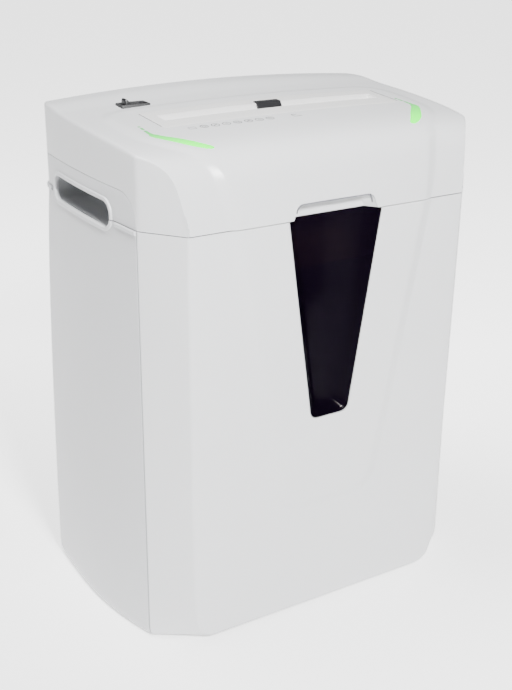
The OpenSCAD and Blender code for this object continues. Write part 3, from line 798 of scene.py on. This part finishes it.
def front_edge(z):
    """Front half-plan pieces at a height: flat edge point, side corner, next side point."""
    mid, flat, ins = bin_row(z)
    cor = min(HALF_CORNER, mid - 6)
    fy = FRONT + (SEAM - z) * TILT
    a = np.array([flat - 0.49 * ins, fy + ins])
    b = np.array([cor - ins, CORNER + 0.342 * ins])
    c = np.array([float(side_x(-60, mid, cor)) - ins, -60.0])
    return a, b, c, mid, cor, ins, fy


def v_side(half, foot, foot_z, z):
    return foot + (half - foot) * (z - foot_z) / (SEAM - foot_z)


def window_edge(z):
    r, foot_z = 9.0, 224.0
    if z <= foot_z:
        return 13.0
    e = v_side(52.9, 22.0, foot_z, z)
    if z < foot_z + r:
        return v_side(52.9, 22.0, foot_z, foot_z + r) - r + math.sqrt(max(r * r - (foot_z + r - z) ** 2, 0))
    return e


def panel_relief(x, z):
    xi = v_side(105, 50.7, 132, z)
    r = 19.0
    dx, dz = (abs(x) - xi) * 0.984, 132 - z
    if dx > -r and dz > -r:
        d = math.hypot(max(dx + r, 0), max(dz + r, 0)) - r
    else:
        d = max(dx, dz)
    t = min(max(1 - d / 11.0, 0), 1)
    return PROUD * (t * t * (3 - 2 * t) * 0.12 + t * 0.88)


def fascia():
    zs = [2.6, 3.5, 5, 7, 9.5, 12, 14, 15, 16.5, 19, 22, 26, 30, 36, 42, 50, 60, 72, 84, 96] + \
        list(np.arange(104, 166, 2.4)) + list(np.arange(168, 222, 6.0)) + \
        [223.9, 224, 224.25, 224.8, 225.8, 227.2, 229, 231, 233] + list(np.arange(238, 431, 6.0)) + [432.9]
    grid = []
    for z in zs:
        a, b, c = front_edge(z)[:3]
        corner = fillet((0, a[1]), a, b, 5.0, 5)
        xw, xi = window_edge(z), v_side(105, 50.7, 132, z)
        xo = xi + 14.5
        xo = min(xo, corner[0][0] - 4)
        xi = min(xi, xo - 3)
        xw = min(xw, xi - 3)
        row = []
        for x0, x1, n in ((0, xw, 10), (xw, xi, 16), (xi, xo, 8), (xo, corner[0][0], 8)):
            for t in np.linspace(0, 1, n + 1)[:-1]:
                row.append((x0 + (x1 - x0) * t, a[1]))
        row += [tuple(p) for p in corner]
        side = fillet(a, b, c, 2.6, 4)
        for t in np.linspace(0, 1, 7)[1:-1]:
            p = corner[-1] * (1 - t) + side[0] * t
            row.append(tuple(p))
        row += [tuple(p) for p in side[:4]]
        row = [(x, y - (panel_relief(x, z) if y < a[1] + 0.01 else 0), z) for x, y in row]
        full = [(-x, y, zz) for x, y, zz in row[:0:-1]] + row
        grid.append(full)
    nr, nc = len(grid), len(grid[0])
    c0 = (nc - 1) // 2
    verts = [p for r in grid for p in r]

    def keep(i, j):
        return not (zs[i] >= 224 and c0 - 10 <= j < c0 + 10)

    faces = grid_faces(nr, nc, 0, keep)
    verts, faces = drop_loose(verts, faces)
    ob = piece("bin_front_panel", verts, faces, "bin", M_WHITE, ("bin_fascia",))
    outward(ob, (0, 0, 200))
    modify(ob, "SOLIDIFY", thickness=0.003, offset=-1.0)
    modify(ob, "BEVEL", width=0.0006, segments=2, limit_method="ANGLE", angle_limit=math.radians(60))
    bake(ob, 40)
    return ob


def tub_path(z):
    mid, cor, ins = front_edge(z)[3:6]
    bc = BACK - BACK_R
    cx = float(side_x(bc, mid, cor)) - BACK_R
    pts = []
    ys = [CORNER + 2.2, CORNER + 4, CORNER + 7] + list(np.arange(CORNER + 12, bc - 3, 6.0)) + [bc]
    for y in ys:
        pts.append((float(side_x(y, mid, cor)) - ins, y))
    for ang in np.linspace(0, 90, 13)[1:]:
        t = math.radians(ang)
        pts.append((cx + (BACK_R - ins) * math.cos(t), bc + (BACK_R - ins) * math.sin(t)))
    for x in np.linspace(cx, 0, 10)[1:]:
        pts.append((x, BACK - ins))
    return pts + [(-x, y) for x, y in pts[-2::-1]]


def tub():
    zs = [2.2, 3, 4.5, 7, 10, 13, 16, 20, 26, 34, 46, 62] + \
        list(np.arange(80, 412, 14.0)) + [414, 420, 428, 433]
    grid = [[(x, y, z) for x, y in tub_path(z)] for z in zs]
    nr, nc = len(grid), len(grid[0])
    verts = [p for r in grid for p in r]
    faces = grid_faces(nr, nc)
    ob = piece("bin_tub_wall", verts, faces, "bin", M_GREY, ("bin_tub",))
    outward(ob, (0, 0, 200))
    modify(ob, "SOLIDIFY", thickness=0.0028, offset=-1.0)
    cut_grips(ob)
    modify(ob, "BEVEL", width=0.0004, segments=2, limit_method="ANGLE", angle_limit=math.radians(60))
    bake(ob, 40)
    # floor of the bin and the hidden wall behind the front panel
    inner = tub_path(8)
    a = front_edge(8)
    fr = [(140, a[6] + 8), (178, CORNER - 2)]
    loop = fr + inner + [(-178, CORNER - 2), (-140, a[6] + 8)]
    loop = [(x * 0.985, y * 0.985) for x, y in loop]
    tiny = [(-2, 0), (2, 0), (2, 2), (-2, 2)]
    v, f = flat_with_hole(loop, tiny, 5.0, 8.0)
    piece("bin_floor", v, f, "bin", M_GREY)
    v, f = [], []
    for s in (-1, 1):
        cols = []
        for t in np.linspace(0, 1, 24):
            z = 9 + (430 - 9) * t
            e = front_edge(z)
            w = window_edge(z) + 3 if z > 224 else 0.0
            y = e[6] + 4.4
            cols.append([(s * w, y, z), (s * (e[0][0] - 2), y, z), (s * (e[1][0] - 4), e[1][1] + 2.5, z),
                         (s * (e[1][0] - 4), e[1][1] + 6, z)])
        base = len(v)
        for r in cols:
            v += r
        f += grid_faces(len(cols), 4, base)
    ob2 = piece("bin_inner_front", v, f, "bin", M_GREY)
    modify(ob2, "SOLIDIFY", thickness=0.002, offset=-1.0)
    bake(ob2, 40)


def sweep(path, section, close=False):
    """Carries a closed section (list of (out, up)) along path points, each with its own axes."""
    v, f = [], []
    n = len(section)
    for p, o, u in path:
        for a, b in section:
            v.append(tuple(np.array(p) + np.array(o) * a + np.array(u) * b))
    m = len(path)
    for i in range(m if close else m - 1):
        j = (i + 1) % m
        for k in range(n):
            q = (k + 1) % n
            f.append((i * n + k, i * n + q, j * n + q, j * n + k))
    if not close:
        f += [cap(n)[::-1], cap(n, (m - 1) * n)]
    return v, f


def rim_lip():
    """Outward lip round the rim of the bin, from the front panel round the back, dipping out at the grips."""
    z = 431.0
    full = tub_path(432)
    sec = [(-1.2, -2.0), (0.9, -2.0), (1.7, -1.5), (2.0, -0.6),
           (2.0, 1.2), (1.6, 1.8), (1.0, 2.0), (-1.2, 2.0)]
    runs, run = [], []
    for x, y in full:
        if abs(x) > 175 and HOLE[0] - 6 < y < HOLE[1] + 6:
            if run:
                runs.append(run)
            run = []
        else:
            run.append((x, y))
    runs.append(run)
    for k, r in enumerate(runs):
        if len(r) < 2:
            continue
        pts = []
        for i, (x, y) in enumerate(r):
            o = across(r[max(i - 1, 0)], r[min(i + 1, len(r) - 1)])
            if np.dot(o[:2], (x, y - 20)) < 0:
                o = -o
            pts.append(((x, y, z), o, (0, 0, 1)))
        v, f = sweep(pts, sec)
        piece("rim_lip_%d" % k, v, f, "bin", M_GREY, (), True, 50)


def gap_shade_strip(name, pts, sec, body):
    """Dark strip lying a little inside a joint between two mouldings: painted shade in the gap."""
    path = []
    for i, p in enumerate(pts):
        p0, p1 = pts[max(i - 1, 0)], pts[min(i + 1, len(pts) - 1)]
        if math.hypot(p1[0] - p0[0], p1[1] - p0[1]) < 1e-6:
            p0, p1 = (0, 0), (0, 1)
        o = across(p0, p1)
        if np.dot(o[:2], (p[0], p[1])) < 0:
            o = -o
        path.append((p, o, (0, 0, 1)))
    v, f = sweep(path, sec)
    return piece(name, v, f, body, M_GAP, (), False)


def joints_shadow():
    near = CORNER + 1.7
    ys = [CORNER + 1.7 + d for d in (0.02, 0.3, 0.9, 1.8, 3.2, 5, 7.5, 10.5, 14, 18, 22, 26.3)]
    ys += list(np.arange(ys[-1] + 5, BACK - 34, 6.0))
    for s in (-1, 1):
        pts = [(s * float(head_half(near)), near, 434.6)]
        for y in ys:
            pts.append((s * float(head_half(y)), y, arch(y, 0, 26.3, 465.25, JOINT)))
        gap_shade_strip("cover_joint_%s" % hand(s), pts,
               [(-2.2, -0.9), (-0.55, -0.9), (-0.55, 0.9), (-2.2, 0.9)], "head")
        # grey strip just behind the joint between front panel and tub: painted shade in the joint
        pts = []
        for z in list(np.arange(8, 430, 12.0)) + [431]:
            mid, cor, ins = front_edge(z)[3:6]
            pts.append((s * (float(side_x(near, mid, cor)) - ins), near, z))
        v = []
        for x, y, z in pts:
            xi, xo = x - s * 2.2, x - s * 0.45
            v += [(xi, y - 1.0, z), (xo, y - 1.0, z), (xo, y + 1.0, z), (xi, y + 1.0, z)]
        f = ring_faces(len(pts), 4)
        piece("panel_joint_%s" % hand(s), v, f, "bin", M_POCKET, (), False)
        pts = [(s * x, FRONT, 433.4) for x in (49.5, 80, 120, 152)] + [(s * 155.3, FRONT + 0.4, 433.4)] + \
              [(s * (FLAT + SLANT_X * t), FRONT + SLANT_Y * t, 433.4) for t in (0.1, 0.5, 0.95)] + \
              [(s * (float(head_half(y)) - 0.2), y, 433.4) for y in (CORNER + 4, CORNER + 20, HOLE[0] - 3)]
        gap_shade_strip("head_joint_%s" % hand(s), pts,
               [(-2.0, -0.36), (-0.5, -0.36), (-0.5, 0.36), (-2.0, 0.36)], "head")


def grip_rings():
    """Raised rims round the grip openings: the upper part on the head, the lower part on the bin."""
    sec = [(-1.5, -2.0), (1.0, -2.1), (1.7, -1.5), (1.9, -0.5),
           (1.9, 1.0), (1.6, 1.7), (1.0, 2.1), (-1.5, 2.1)]
    pts = rounded(HOLE[0] - 1.9, HOLE[1] + 1.9, HOLE[2] - 1.9, HOLE[3] + 1.9, HOLE[4] + 1.9, 8)
    dense = []
    for i in range(len(pts)):
        a, b = np.array(pts[i]), np.array(pts[(i + 1) % len(pts)])
        n = max(1, int(np.linalg.norm(b - a) / 6))
        dense += [tuple(a + (b - a) * k / n) for k in range(n)]
    for s in (-1, 1):
        for part, body in (("upper", "head"), ("lower", "bin")):
            keep = [p for p in dense if (p[1] > 433.9 if part == "upper" else p[1] < 432.7)]
            ang = [math.atan2(p[1] - 433.3, p[0] - 18) for p in keep]
            keep = [p for _, p in sorted(zip(ang, keep))]
            zend = 434.0 if part == "upper" else 432.8
            ends = (HOLE[1] + 1.9, HOLE[0] - 1.9) if part == "upper" else (HOLE[0] - 1.9, HOLE[1] + 1.9)
            keep = [(ends[0], zend)] + keep + [(ends[1], zend)]
            path = []
            for i, (y, z) in enumerate(keep):
                q0, q1 = keep[max(i - 1, 0)], keep[min(i + 1, len(keep) - 1)]
                t = np.array([0.0, q1[0] - q0[0], q1[1] - q0[1]])
                t /= np.linalg.norm(t) + 1e-9
                if part == "upper":
                    w = float(head_half(y))
                else:
                    r = bin_row(min(z, 433))
                    w = float(side_x(y, r[0], min(HALF_CORNER, r[0] - 6)))
                o = np.array([s * 1.0, 0, 0])
                u = np.cross(t, o)
                path.append(((s * w, y, z), o, u))
            v, f = sweep(path, sec)
            ob = piece("grip_rim_%s_%s" % (part, hand(s)), v, f, body,
                       M_GREY, (), True, 50)
            outward(ob, (s * 150, 18, 433))


def grip_pockets():
    """Smooth dished pockets behind the grip openings."""
    for s, node in ((-1, "grip_left"), (1, "grip_right")):
        rings = []
        steps = ((0.0, -1.5, 12), (4, -1.2, 12), (12, 0.0, 11),
                 (20, 1.6, 9.5), (24.5, 4, 7.5), (26.5, 7.5, 4))
        for dx, ins, r in steps:
            x0 = 189.3 - dx
            outline = rounded(HOLE[0] + ins, HOLE[1] - ins, HOLE[2] + ins * 0.8, HOLE[3] - ins * 0.8, r)
            rings.append([(s * x0, y, z) for y, z in outline])
        n = len(rings[0])
        v = [p for r in rings for p in r]
        f = ring_faces(len(rings), n)
        f.append(cap(n, (len(rings) - 1) * n))
        ob = piece("grip_pocket_" + hand(s), v, f, "head", M_POCKET, (node,),
                   True, 60)
        modify(ob, "SOLIDIFY", thickness=0.0015, offset=0.0)
        bake(ob, 50)


# ---------------------------------------------------------------- window tray
def window():
    top = 432.6
    y_face = FRONT - PROUD

    def outline(half, foot, foot_z, r, n=30):
        right = []
        for k in range(9):
            a = math.radians(-90 + 90 * k / 8)
            xc = v_side(half, foot, foot_z, foot_z + r) - r
            right.append((xc + r * math.cos(a), foot_z + r + r * math.sin(a)))
        for t in np.linspace(0, 1, n)[1:]:
            z = foot_z + r + (top - foot_z - r) * t
            right.append((v_side(half, foot, foot_z, z), z))
        return right

    rings = []
    spec = [(0.7, 1.0, 9.0, 0.0), (1.3, 1.6, 9.0, -0.5), (2.3, 2.4, 8.6, -0.2), (3.0, 3.0, 8.4, 0.6),
            (11.0, 10.6, 7.2, 9.2), (12.2, 11.8, 6.6, 10.2), (14.2, 14.0, 5.0, 10.8)]
    for d, up, r, deep in spec:
        foot = 22.0 - d * 0.92
        o = outline(52.9 - d, max(foot, r + 0.6), 224 + up, r)
        ring = o[::-1] + [(-x, z) for x, z in o]
        rings.append([(x, y_face + 0.2 + deep + (SEAM - z) * TILT, z) for x, z in ring])
    n = len(rings[0])
    v = [p for r in rings for p in r]
    f = []
    for k in range(len(rings) - 1):
        for i in range(n - 1):
            f.append((k * n + i, k * n + i + 1, (k + 1) * n + i + 1, (k + 1) * n + i))
    last = (len(rings) - 1) * n
    for i in range(n // 2 - 1):
        a, b = last + i, last + i + 1
        c, d = last + n - 2 - i, last + n - 1 - i
        f.append((a, b, c, d))
    ob = piece("smoked_tray", v, f, "bin", M_SMOKED, ("window_tray",), True, 30)
    outward(ob, (0, 100, 330))
    modify(ob, "SOLIDIFY", thickness=0.0018, offset=-1.0)
    bake(ob, 35)
    return ob


# ---------------------------------------------------------------- throat
def throat():
    """Throat plate laid on the head: top follows the head, the funnel runs down to the slot."""
    x0, x1 = THR_LO[0] + 0.3, THR_HI[0] - 0.3
    y0, y1 = THR_LO[1] + 0.2, THR_HI[1] - 0.2
    sx0, sx1 = x0 + 11.5, x1 - 11.5
    cx = (x0 + x1) / 2
    fb, ff = 1.6, -17.6
    xs = np.concatenate([np.linspace(x0, sx0, 6), np.linspace(sx0, sx1, 60)[1:], np.linspace(sx1, x1, 6)[1:]])
    ys = np.concatenate([np.linspace(y0, ff, 12), np.linspace(ff, fb, 8)[1:], np.linspace(fb, y1, 9)[1:]])
    lift = 0.35
    v = []
    for y in ys:
        for x in xs:
            d = min(x - x0, x1 - x, y - y0, y1 - y)
            v.append((x, y, head_top(x, y) + lift * min(d / 0.6 + 0.2, 1)))
    nc = len(xs)

    def keep(i, j):
        return not (ff - 0.01 <= ys[i] < fb - 0.01 and sx0 - 0.01 <= xs[j] < sx1 - 0.01)
    f = grid_faces(len(ys), nc, 0, keep)
    v, f = drop_loose(v, f)
    ob = piece("throat_plate", v, f, "head", M_PLATE, ("throat_insert",), True, 30)
    outward(ob, (cx, -10, 0))
    # funnel
    slot0, slot1 = -21.0, -13.0
    loops = []
    steps = ((0.35, fb, ff, 0.0), (-0.6, fb - 0.25, ff + 0.25, 0.3), (-3.0, fb - 1.6, ff + 0.3, 1.6),
             (-6.5, fb - 4.2, ff, 4.5), (-12.0, slot1 + 1.6, slot0 + 2.4, 7.6), (-17.5, slot1, slot0, 8.4))
    for dz, back, frontw, ex in steps:
        loop = []
        xa, xb = sx0 + ex, sx1 - ex
        for x in np.linspace(xa, xb, 40):
            loop.append((x, frontw, head_top(x, ff) + dz))
        for x in np.linspace(xb, xa, 40):
            loop.append((x, back, head_top(x, ff if dz < -10 else fb) + dz))
        loops.append(loop)
    n = len(loops[0])
    v = [p for l in loops for p in l]
    f = ring_faces(len(loops), n)
    ob2 = piece("throat_funnel", v, f, "head", M_PLATE, (), True, 35)
    outward(ob2, (cx, -8, 505))
    ob2.data.flip_normals()
    # dark lines at both ends of the plate: painted shade in the gaps
    for s, xe in ((-1, x0 - 0.25), (1, x1 + 0.25)):
        pts = []
        for y in np.linspace(y0 + 6, y1 - 4, 14):
            pts.append(((xe, y, head_top(xe, y) + 0.05), (s * 1.0, 0, 0), (0, 0, 1)))
        v, f = sweep(pts, [(-0.32, -0.4), (0.32, -0.4), (0.32, 0.12), (-0.32, 0.12)])
        piece("throat_gap_" + hand(s), v, f, "head", M_GAP, (), False)
    # paper sensor bridging the back of the funnel
    w = 14.2
    prof = [(fb + 6.0, 1.0), (fb + 5.6, 1.6), (fb - 1.2, 1.5), (fb - 2.0, 0.8), (fb - 6.2, -6.0),
            (fb - 9.5, -9.0), (fb - 9.5, -13.5), (fb + 2.0, -13.5), (fb + 6.0, -3.0)]
    v = []
    for x, k in ((cx - w, 0.86), (cx - w + 0.7, 1.0), (cx + w - 0.7, 1.0), (cx + w, 0.86)):
        ym = fb - 1
        for y, dz in prof:
            v.append((x, ym + (y - ym) * k, head_top(x, fb) + (dz + 5) * k - 5))
    n = len(prof)
    f = ring_faces(4, n) + [cap(n)[::-1], cap(n, 3 * n)]
    ob3 = piece("paper_sensor", v, f, "head", M_BLACK, ("sensor_block",), True, 30)
    outward(ob3, (cx, fb, 508))


def boomerang(s):
    pts = [(152, -10), (155, -44), (157, -54), (141, -78), (133, -88), (118, -98),
           (109, -95), (117, -86), (130, -69), (149, -48), (149, -30), (148.5, -10)]
    return [(-0.9 - 2 * s + s * x, y - 4.5) for x, y in pts]


def chaikin(pts, n=2):
    p = [np.array(q, float) for q in pts]
    for _ in range(n):
        out = []
        for i in range(len(p)):
            a, b = p[i], p[(i + 1) % len(p)]
            out += [a * 0.75 + b * 0.25, a * 0.25 + b * 0.75]
        p = out
    return p


def drape(loop, lift, skirt, name, nodes):
    """A thin lens laid on the head: a filled outline lifted off the surface, edges rounded down."""
    c = sum(loop) / len(loop)
    tris = tessellate_polygon([[Vector((p[0], p[1], 0)) for p in loop]])
    me = bpy.data.meshes.new(name + "_flat")
    me.from_pydata([(p[0], p[1], 0) for p in loop], [], [tuple(t) for t in tris])
    bm = bmesh.new()
    bm.from_mesh(me)
    for _ in range(3):
        long = [e for e in bm.edges if e.calc_length() > 5.0]
        if not long:
            break
        bmesh.ops.subdivide_edges(bm, edges=long, cuts=1)
        bmesh.ops.triangulate(bm, faces=bm.faces[:])
    bmesh.ops.inset_region(bm, faces=bm.faces[:], thickness=0.5, depth=0.0)
    edge = {v for v in bm.verts if v.is_boundary}
    for v in bm.verts:
        x, y = v.co.x, v.co.y
        v.co.z = head_top(x, y) + (-skirt if v in edge else lift)
    v = [tuple(q.co) for q in bm.verts]
    bm.verts.index_update()
    f = [tuple(q.index for q in fc.verts) for fc in bm.faces]
    bm.free()
    bpy.data.meshes.remove(me)
    ob = piece(name, v, f, "head", M_GREEN, nodes, True, 50)
    outward(ob, (c[0], c[1], 0))


def guides():
    for s, node in ((-1, "light_pipe_left"), (1, "light_pipe_right")):
        loop = chaikin(boomerang(s), 2)
        if s > 0:
            loop = loop[::-1]
        drape(loop, 0.45, 0.3, "green_guide_" + hand(s), (node,))


def marks():
    """Generic pictograms printed in front of the throat: small rings and a sheet outline."""
    def stroke(pts, w, close):
        path = []
        n = len(pts)
        for i, (x, y) in enumerate(pts):
            a = pts[(i - 1) % n] if close else pts[max(i - 1, 0)]
            b = pts[(i + 1) % n] if close else pts[min(i + 1, n - 1)]
            path.append(((x, y, head_top(x, y) + 0.04), across(a, b), (0, 0, 1)))
        return sweep(path, [(-w, -0.05), (w, -0.05), (w, 0.06), (-w, 0.06)], close)
    V, F = [], []

    def add(pts, w=0.28, close=True):
        v, f = stroke(pts, w, close)
        b = len(V)
        V.extend(v)
        F.extend([tuple(i + b for i in q) for q in f])

    y = -49.5
    xs = np.linspace(-107, -23, 8)
    for k, x in enumerate(xs):
        if k == 0:
            add([(x - 4, y - 2.6), (x + 3, y - 2.6), (x + 3, y + 2.6), (x - 4, y + 2.6)], 0.36)
            continue
        turn = np.linspace(0, 2 * math.pi, 25)[:-1]
        add([(x + 3.9 * math.cos(a), y + 3.9 * math.sin(a)) for a in turn], 0.36)
        if k % 3 == 1:
            add([(x - 1.4, y - 1.8), (x + 1.4, y - 1.8), (x + 1.4, y + 1.8), (x - 1.4, y + 1.8)], 0.3)
        elif k % 3 == 2:
            add([(x - 2.6, y - 2.6), (x + 2.6, y + 2.6)], 0.25, False)
            add([(x - 1.8, y), (x + 1.8, y)], 0.4, False)
        else:
            add([(x - 1.6, y - 1.2), (x, y + 1.7), (x + 1.6, y - 1.2)], 0.3)
    x = 6.5
    add([(x - 3.2, y + 3.6), (x - 3.2, y - 2.8), (x + 5.5, y - 2.8)], 0.4, False)
    add([(x - 3.2, y + 3.6), (x - 0.6, y + 3.6), (x + 0.8, y + 1.4)], 0.4, False)
    piece("printed_marks", V, F, "head", M_INK, (), False)


# ---------------------------------------------------------------- rocker
def rocker():
    cx, cy = (BEZ_LO[0] + BEZ_HI[0]) / 2, (BEZ_LO[1] + BEZ_HI[1]) / 2
    hx, hy = (BEZ_HI[0] - BEZ_LO[0]) / 2, (BEZ_HI[1] - BEZ_LO[1]) / 2
    top = BEZ_HI[2]

    def rounded_ring(hx, hy, r, z):
        out = []
        for a0, sx, sy in ((0, 1, 1), (90, -1, 1), (180, -1, -1), (270, 1, -1)):
            for k in range(5):
                a = math.radians(a0 + 90 * k / 4)
                x, y = cx + sx * (hx - r) + r * math.cos(a), cy + sy * (hy - r) + r * math.sin(a)
                out.append((x, y, z))
        return out
    rings = []
    for ix, iy, r, dz in ((0, 0, 1.6, -5.4), (0, 0, 1.6, -0.9), (0.4, 0.4, 1.4, -0.2), (1.0, 1.0, 1.2, 0.0),
                          (1.7, 2.6, 0.9, 0.0), (2.1, 3.2, 0.7, -0.4), (2.2, 3.35, 0.6, -14)):
        rings.append(rounded_ring(hx - ix, hy - iy, r, top + dz))
    n = len(rings[0])
    v = [p for q in rings for p in q]
    f = ring_faces(len(rings), n)
    f.append(cap(n, (len(rings) - 1) * n))
    ob = piece("switch_frame", v, f, "head", M_BLACKM, ("switch_bezel",), True, 40)
    outward(ob, (cx, cy, 480))
    # paddle, same silhouette as the CAD piece, edges rounded
    px, pz = cx, 511.0
    prof = [(-10.2, -3.4), (-10.5, 9.6), (-10.0, 10.9), (-8.9, 11.5), (-7.4, 10.2), (-5.2, 7.0),
            (-2.6, 5.3), (0, 4.6), (3, 4.25), (5.8, 4.3), (8.6, 5.2), (10.3, 6.0), (10.7, 5.5),
            (10.2, 1.6), (5, -8), (-5, -8)]
    v = []
    w = 4.8
    for y, k in ((-w, 0.93), (-w + 0.5, 0.985), (-w + 1.0, 1.0), (w - 1.0, 1.0), (w - 0.5, 0.985), (w, 0.93)):
        for x, z in prof:
            v.append((px + x * k, cy + y, pz + (z - 3) * k + 3))
    n = len(prof)
    f = ring_faces(6, n) + [cap(n)[::-1], cap(n, 5 * n)]
    ob = piece("rocker_paddle", v, f, "rocker", M_BLACK, ("rocker",), True, 38)
    outward(ob, (px, cy, 513))


cover = head_cover()
cut_switch(cover)
notch()
head_base()
fascia()
tub()
rim_lip()
joints_shadow()
grip_rings()
grip_pockets()
window()
throat()
guides()
marks()
rocker()

# ---------------------------------------------------------------- the CAD nodes that stay as they are
KEEP = {
    "bin_feet": M_RUBBER, "fascia_screws": M_SCREW, "striker": M_GREY, "led_boards": M_BOARD,
    "chute": M_CHUTE, "side_plate_left": M_STEEL, "side_plate_right": M_STEEL, "tie_rods": M_STEEL,
    "rod_nuts": M_SCREW, "comb_front": M_BLACKM, "comb_rear": M_BLACKM, "cutter_front": M_CUTTER,
    "cutter_rear": M_CUTTER, "bushes": M_BRONZE, "idler_gear": M_ACETAL, "idler_stud": M_STEEL,
    "motor_can": M_CAN, "motor_cap": M_BLACKM, "motor_rotor": M_CUTTER, "motor_screws": M_SCREW,
    "control_board": M_BOARD, "board_parts": M_PARTS, "safety_switch": M_BLACKM,
    "safety_plunger": M_RED, "cover_screws": M_SCREW, "cord_gland": M_BLACKM,
}
for name, mat in KEEP.items():
    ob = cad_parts[name]
    ob.data.materials.clear()
    ob.data.materials.append(mat)
    if name in ("chute", "bin_feet", "cord_gland", "striker", "motor_can", "motor_cap"):
        modify(ob, "BEVEL", width=0.0005, segments=2, limit_method="ANGLE", angle_limit=math.radians(40))


# ---------------------------------------------------------------- floor, light, camera
def stage():
    me = bpy.data.meshes.new("floor")
    size = 30.0
    corners = [(-size, -size, 0), (size, -size, 0), (size, size, 0), (-size, size, 0)]
    me.from_pydata(corners, [], [(0, 1, 2, 3)])
    fl = bpy.data.objects.new("floor", me)
    bpy.context.scene.collection.objects.link(fl)
    m, nt, b = nodes_of("floor_paper")
    b.inputs["Base Color"].default_value = (0.93, 0.93, 0.93, 1)
    b.inputs["Roughness"].default_value = 0.7
    b.inputs["Specular IOR Level"].default_value = 0.2
    b.inputs["Emission Color"].default_value = (1, 1, 1, 1)
    co = nt.nodes.new("ShaderNodeTexCoord")
    dot = nt.nodes.new("ShaderNodeVectorMath")
    dot.operation = "DOT_PRODUCT"
    dot.inputs[1].default_value = (0.53, 0.85, 0.0)
    glow = nt.nodes.new("ShaderNodeMapRange")
    glow.inputs["From Min"].default_value = -0.5
    glow.inputs["From Max"].default_value = 0.6
    glow.inputs["To Min"].default_value = 0.2
    glow.inputs["To Max"].default_value = 2.6
    nt.links.new(co.outputs["Object"], dot.inputs[0])
    nt.links.new(dot.outputs["Value"], glow.inputs["Value"])
    nt.links.new(glow.outputs["Result"], b.inputs["Emission Strength"])
    me.materials.append(m)
    w = bpy.data.worlds.new("studio")
    bpy.context.scene.world = w
    w.use_nodes = True
    w.node_tree.nodes["Background"].inputs["Color"].default_value = (1, 1, 1, 1)
    w.node_tree.nodes["Background"].inputs["Strength"].default_value = 0.14

    def area(name, loc, target, sx, sy, power, col=(1, 1, 1)):
        l = bpy.data.lights.new(name, "AREA")
        l.shape = "RECTANGLE"
        l.size, l.size_y = sx, sy
        l.energy = power
        l.color = col
        o = bpy.data.objects.new(name, l)
        bpy.context.scene.collection.objects.link(o)
        o.location = loc
        d = Vector(target) - Vector(loc)
        o.rotation_euler = d.to_track_quat("-Z", "Y").to_euler()
        return o

    area("key", (-0.3, -1.35, 1.35), (-0.03, 0, 0.30), 0.3, 0.3, 84)
    area("top", (-0.5, 0.35, 2.2), (0, 0, 0.45), 0.9, 0.7, 56)
    area("left", (-2.2, -1.0, 0.9), (0, 0, 0.25), 0.8, 1.0, 5)
    me2 = bpy.data.meshes.new("flag")
    card = [(0.62, -0.95, 0.0), (1.05, 0.35, 0.0), (1.05, 0.35, 1.1), (0.62, -0.95, 1.1)]
    me2.from_pydata(card, [], [(0, 1, 2, 3)])
    flag = bpy.data.objects.new("flag", me2)
    bpy.context.scene.collection.objects.link(flag)
    m2, _, b2 = nodes_of("flag_cloth")
    b2.inputs["Base Color"].default_value = (0.03, 0.03, 0.03, 1)
    b2.inputs["Roughness"].default_value = 0.9
    me2.materials.append(m2)
    flag.visible_camera = False

    cam = bpy.data.cameras.new("camera")
    co = bpy.data.objects.new("camera", cam)
    bpy.context.scene.collection.objects.link(co)
    az, el, roll = math.radians(-32.09), math.radians(21.77), math.radians(0.68)
    back = Vector((math.sin(az) * math.cos(el), -math.cos(az) * math.cos(el), math.sin(el)))
    right = Vector((0, 0, 1)).cross(back).normalized()
    up = back.cross(right)
    r2 = right * math.cos(roll) + up * math.sin(roll)
    u2 = -right * math.sin(roll) + up * math.cos(roll)
    rot = Matrix((r2, u2, back)).transposed()
    co.matrix_world = Matrix.Translation(Vector((-0.60916, -0.9949, 0.73514))) @ rot.to_4x4()
    cam.sensor_width = 36
    cam.lens = 60.6
    cam.shift_x = -0.0251
    cam.shift_y = -0.0197
    cam.clip_start = 0.05
    cam.dof.use_dof = False
    bpy.context.scene.camera = co


stage()
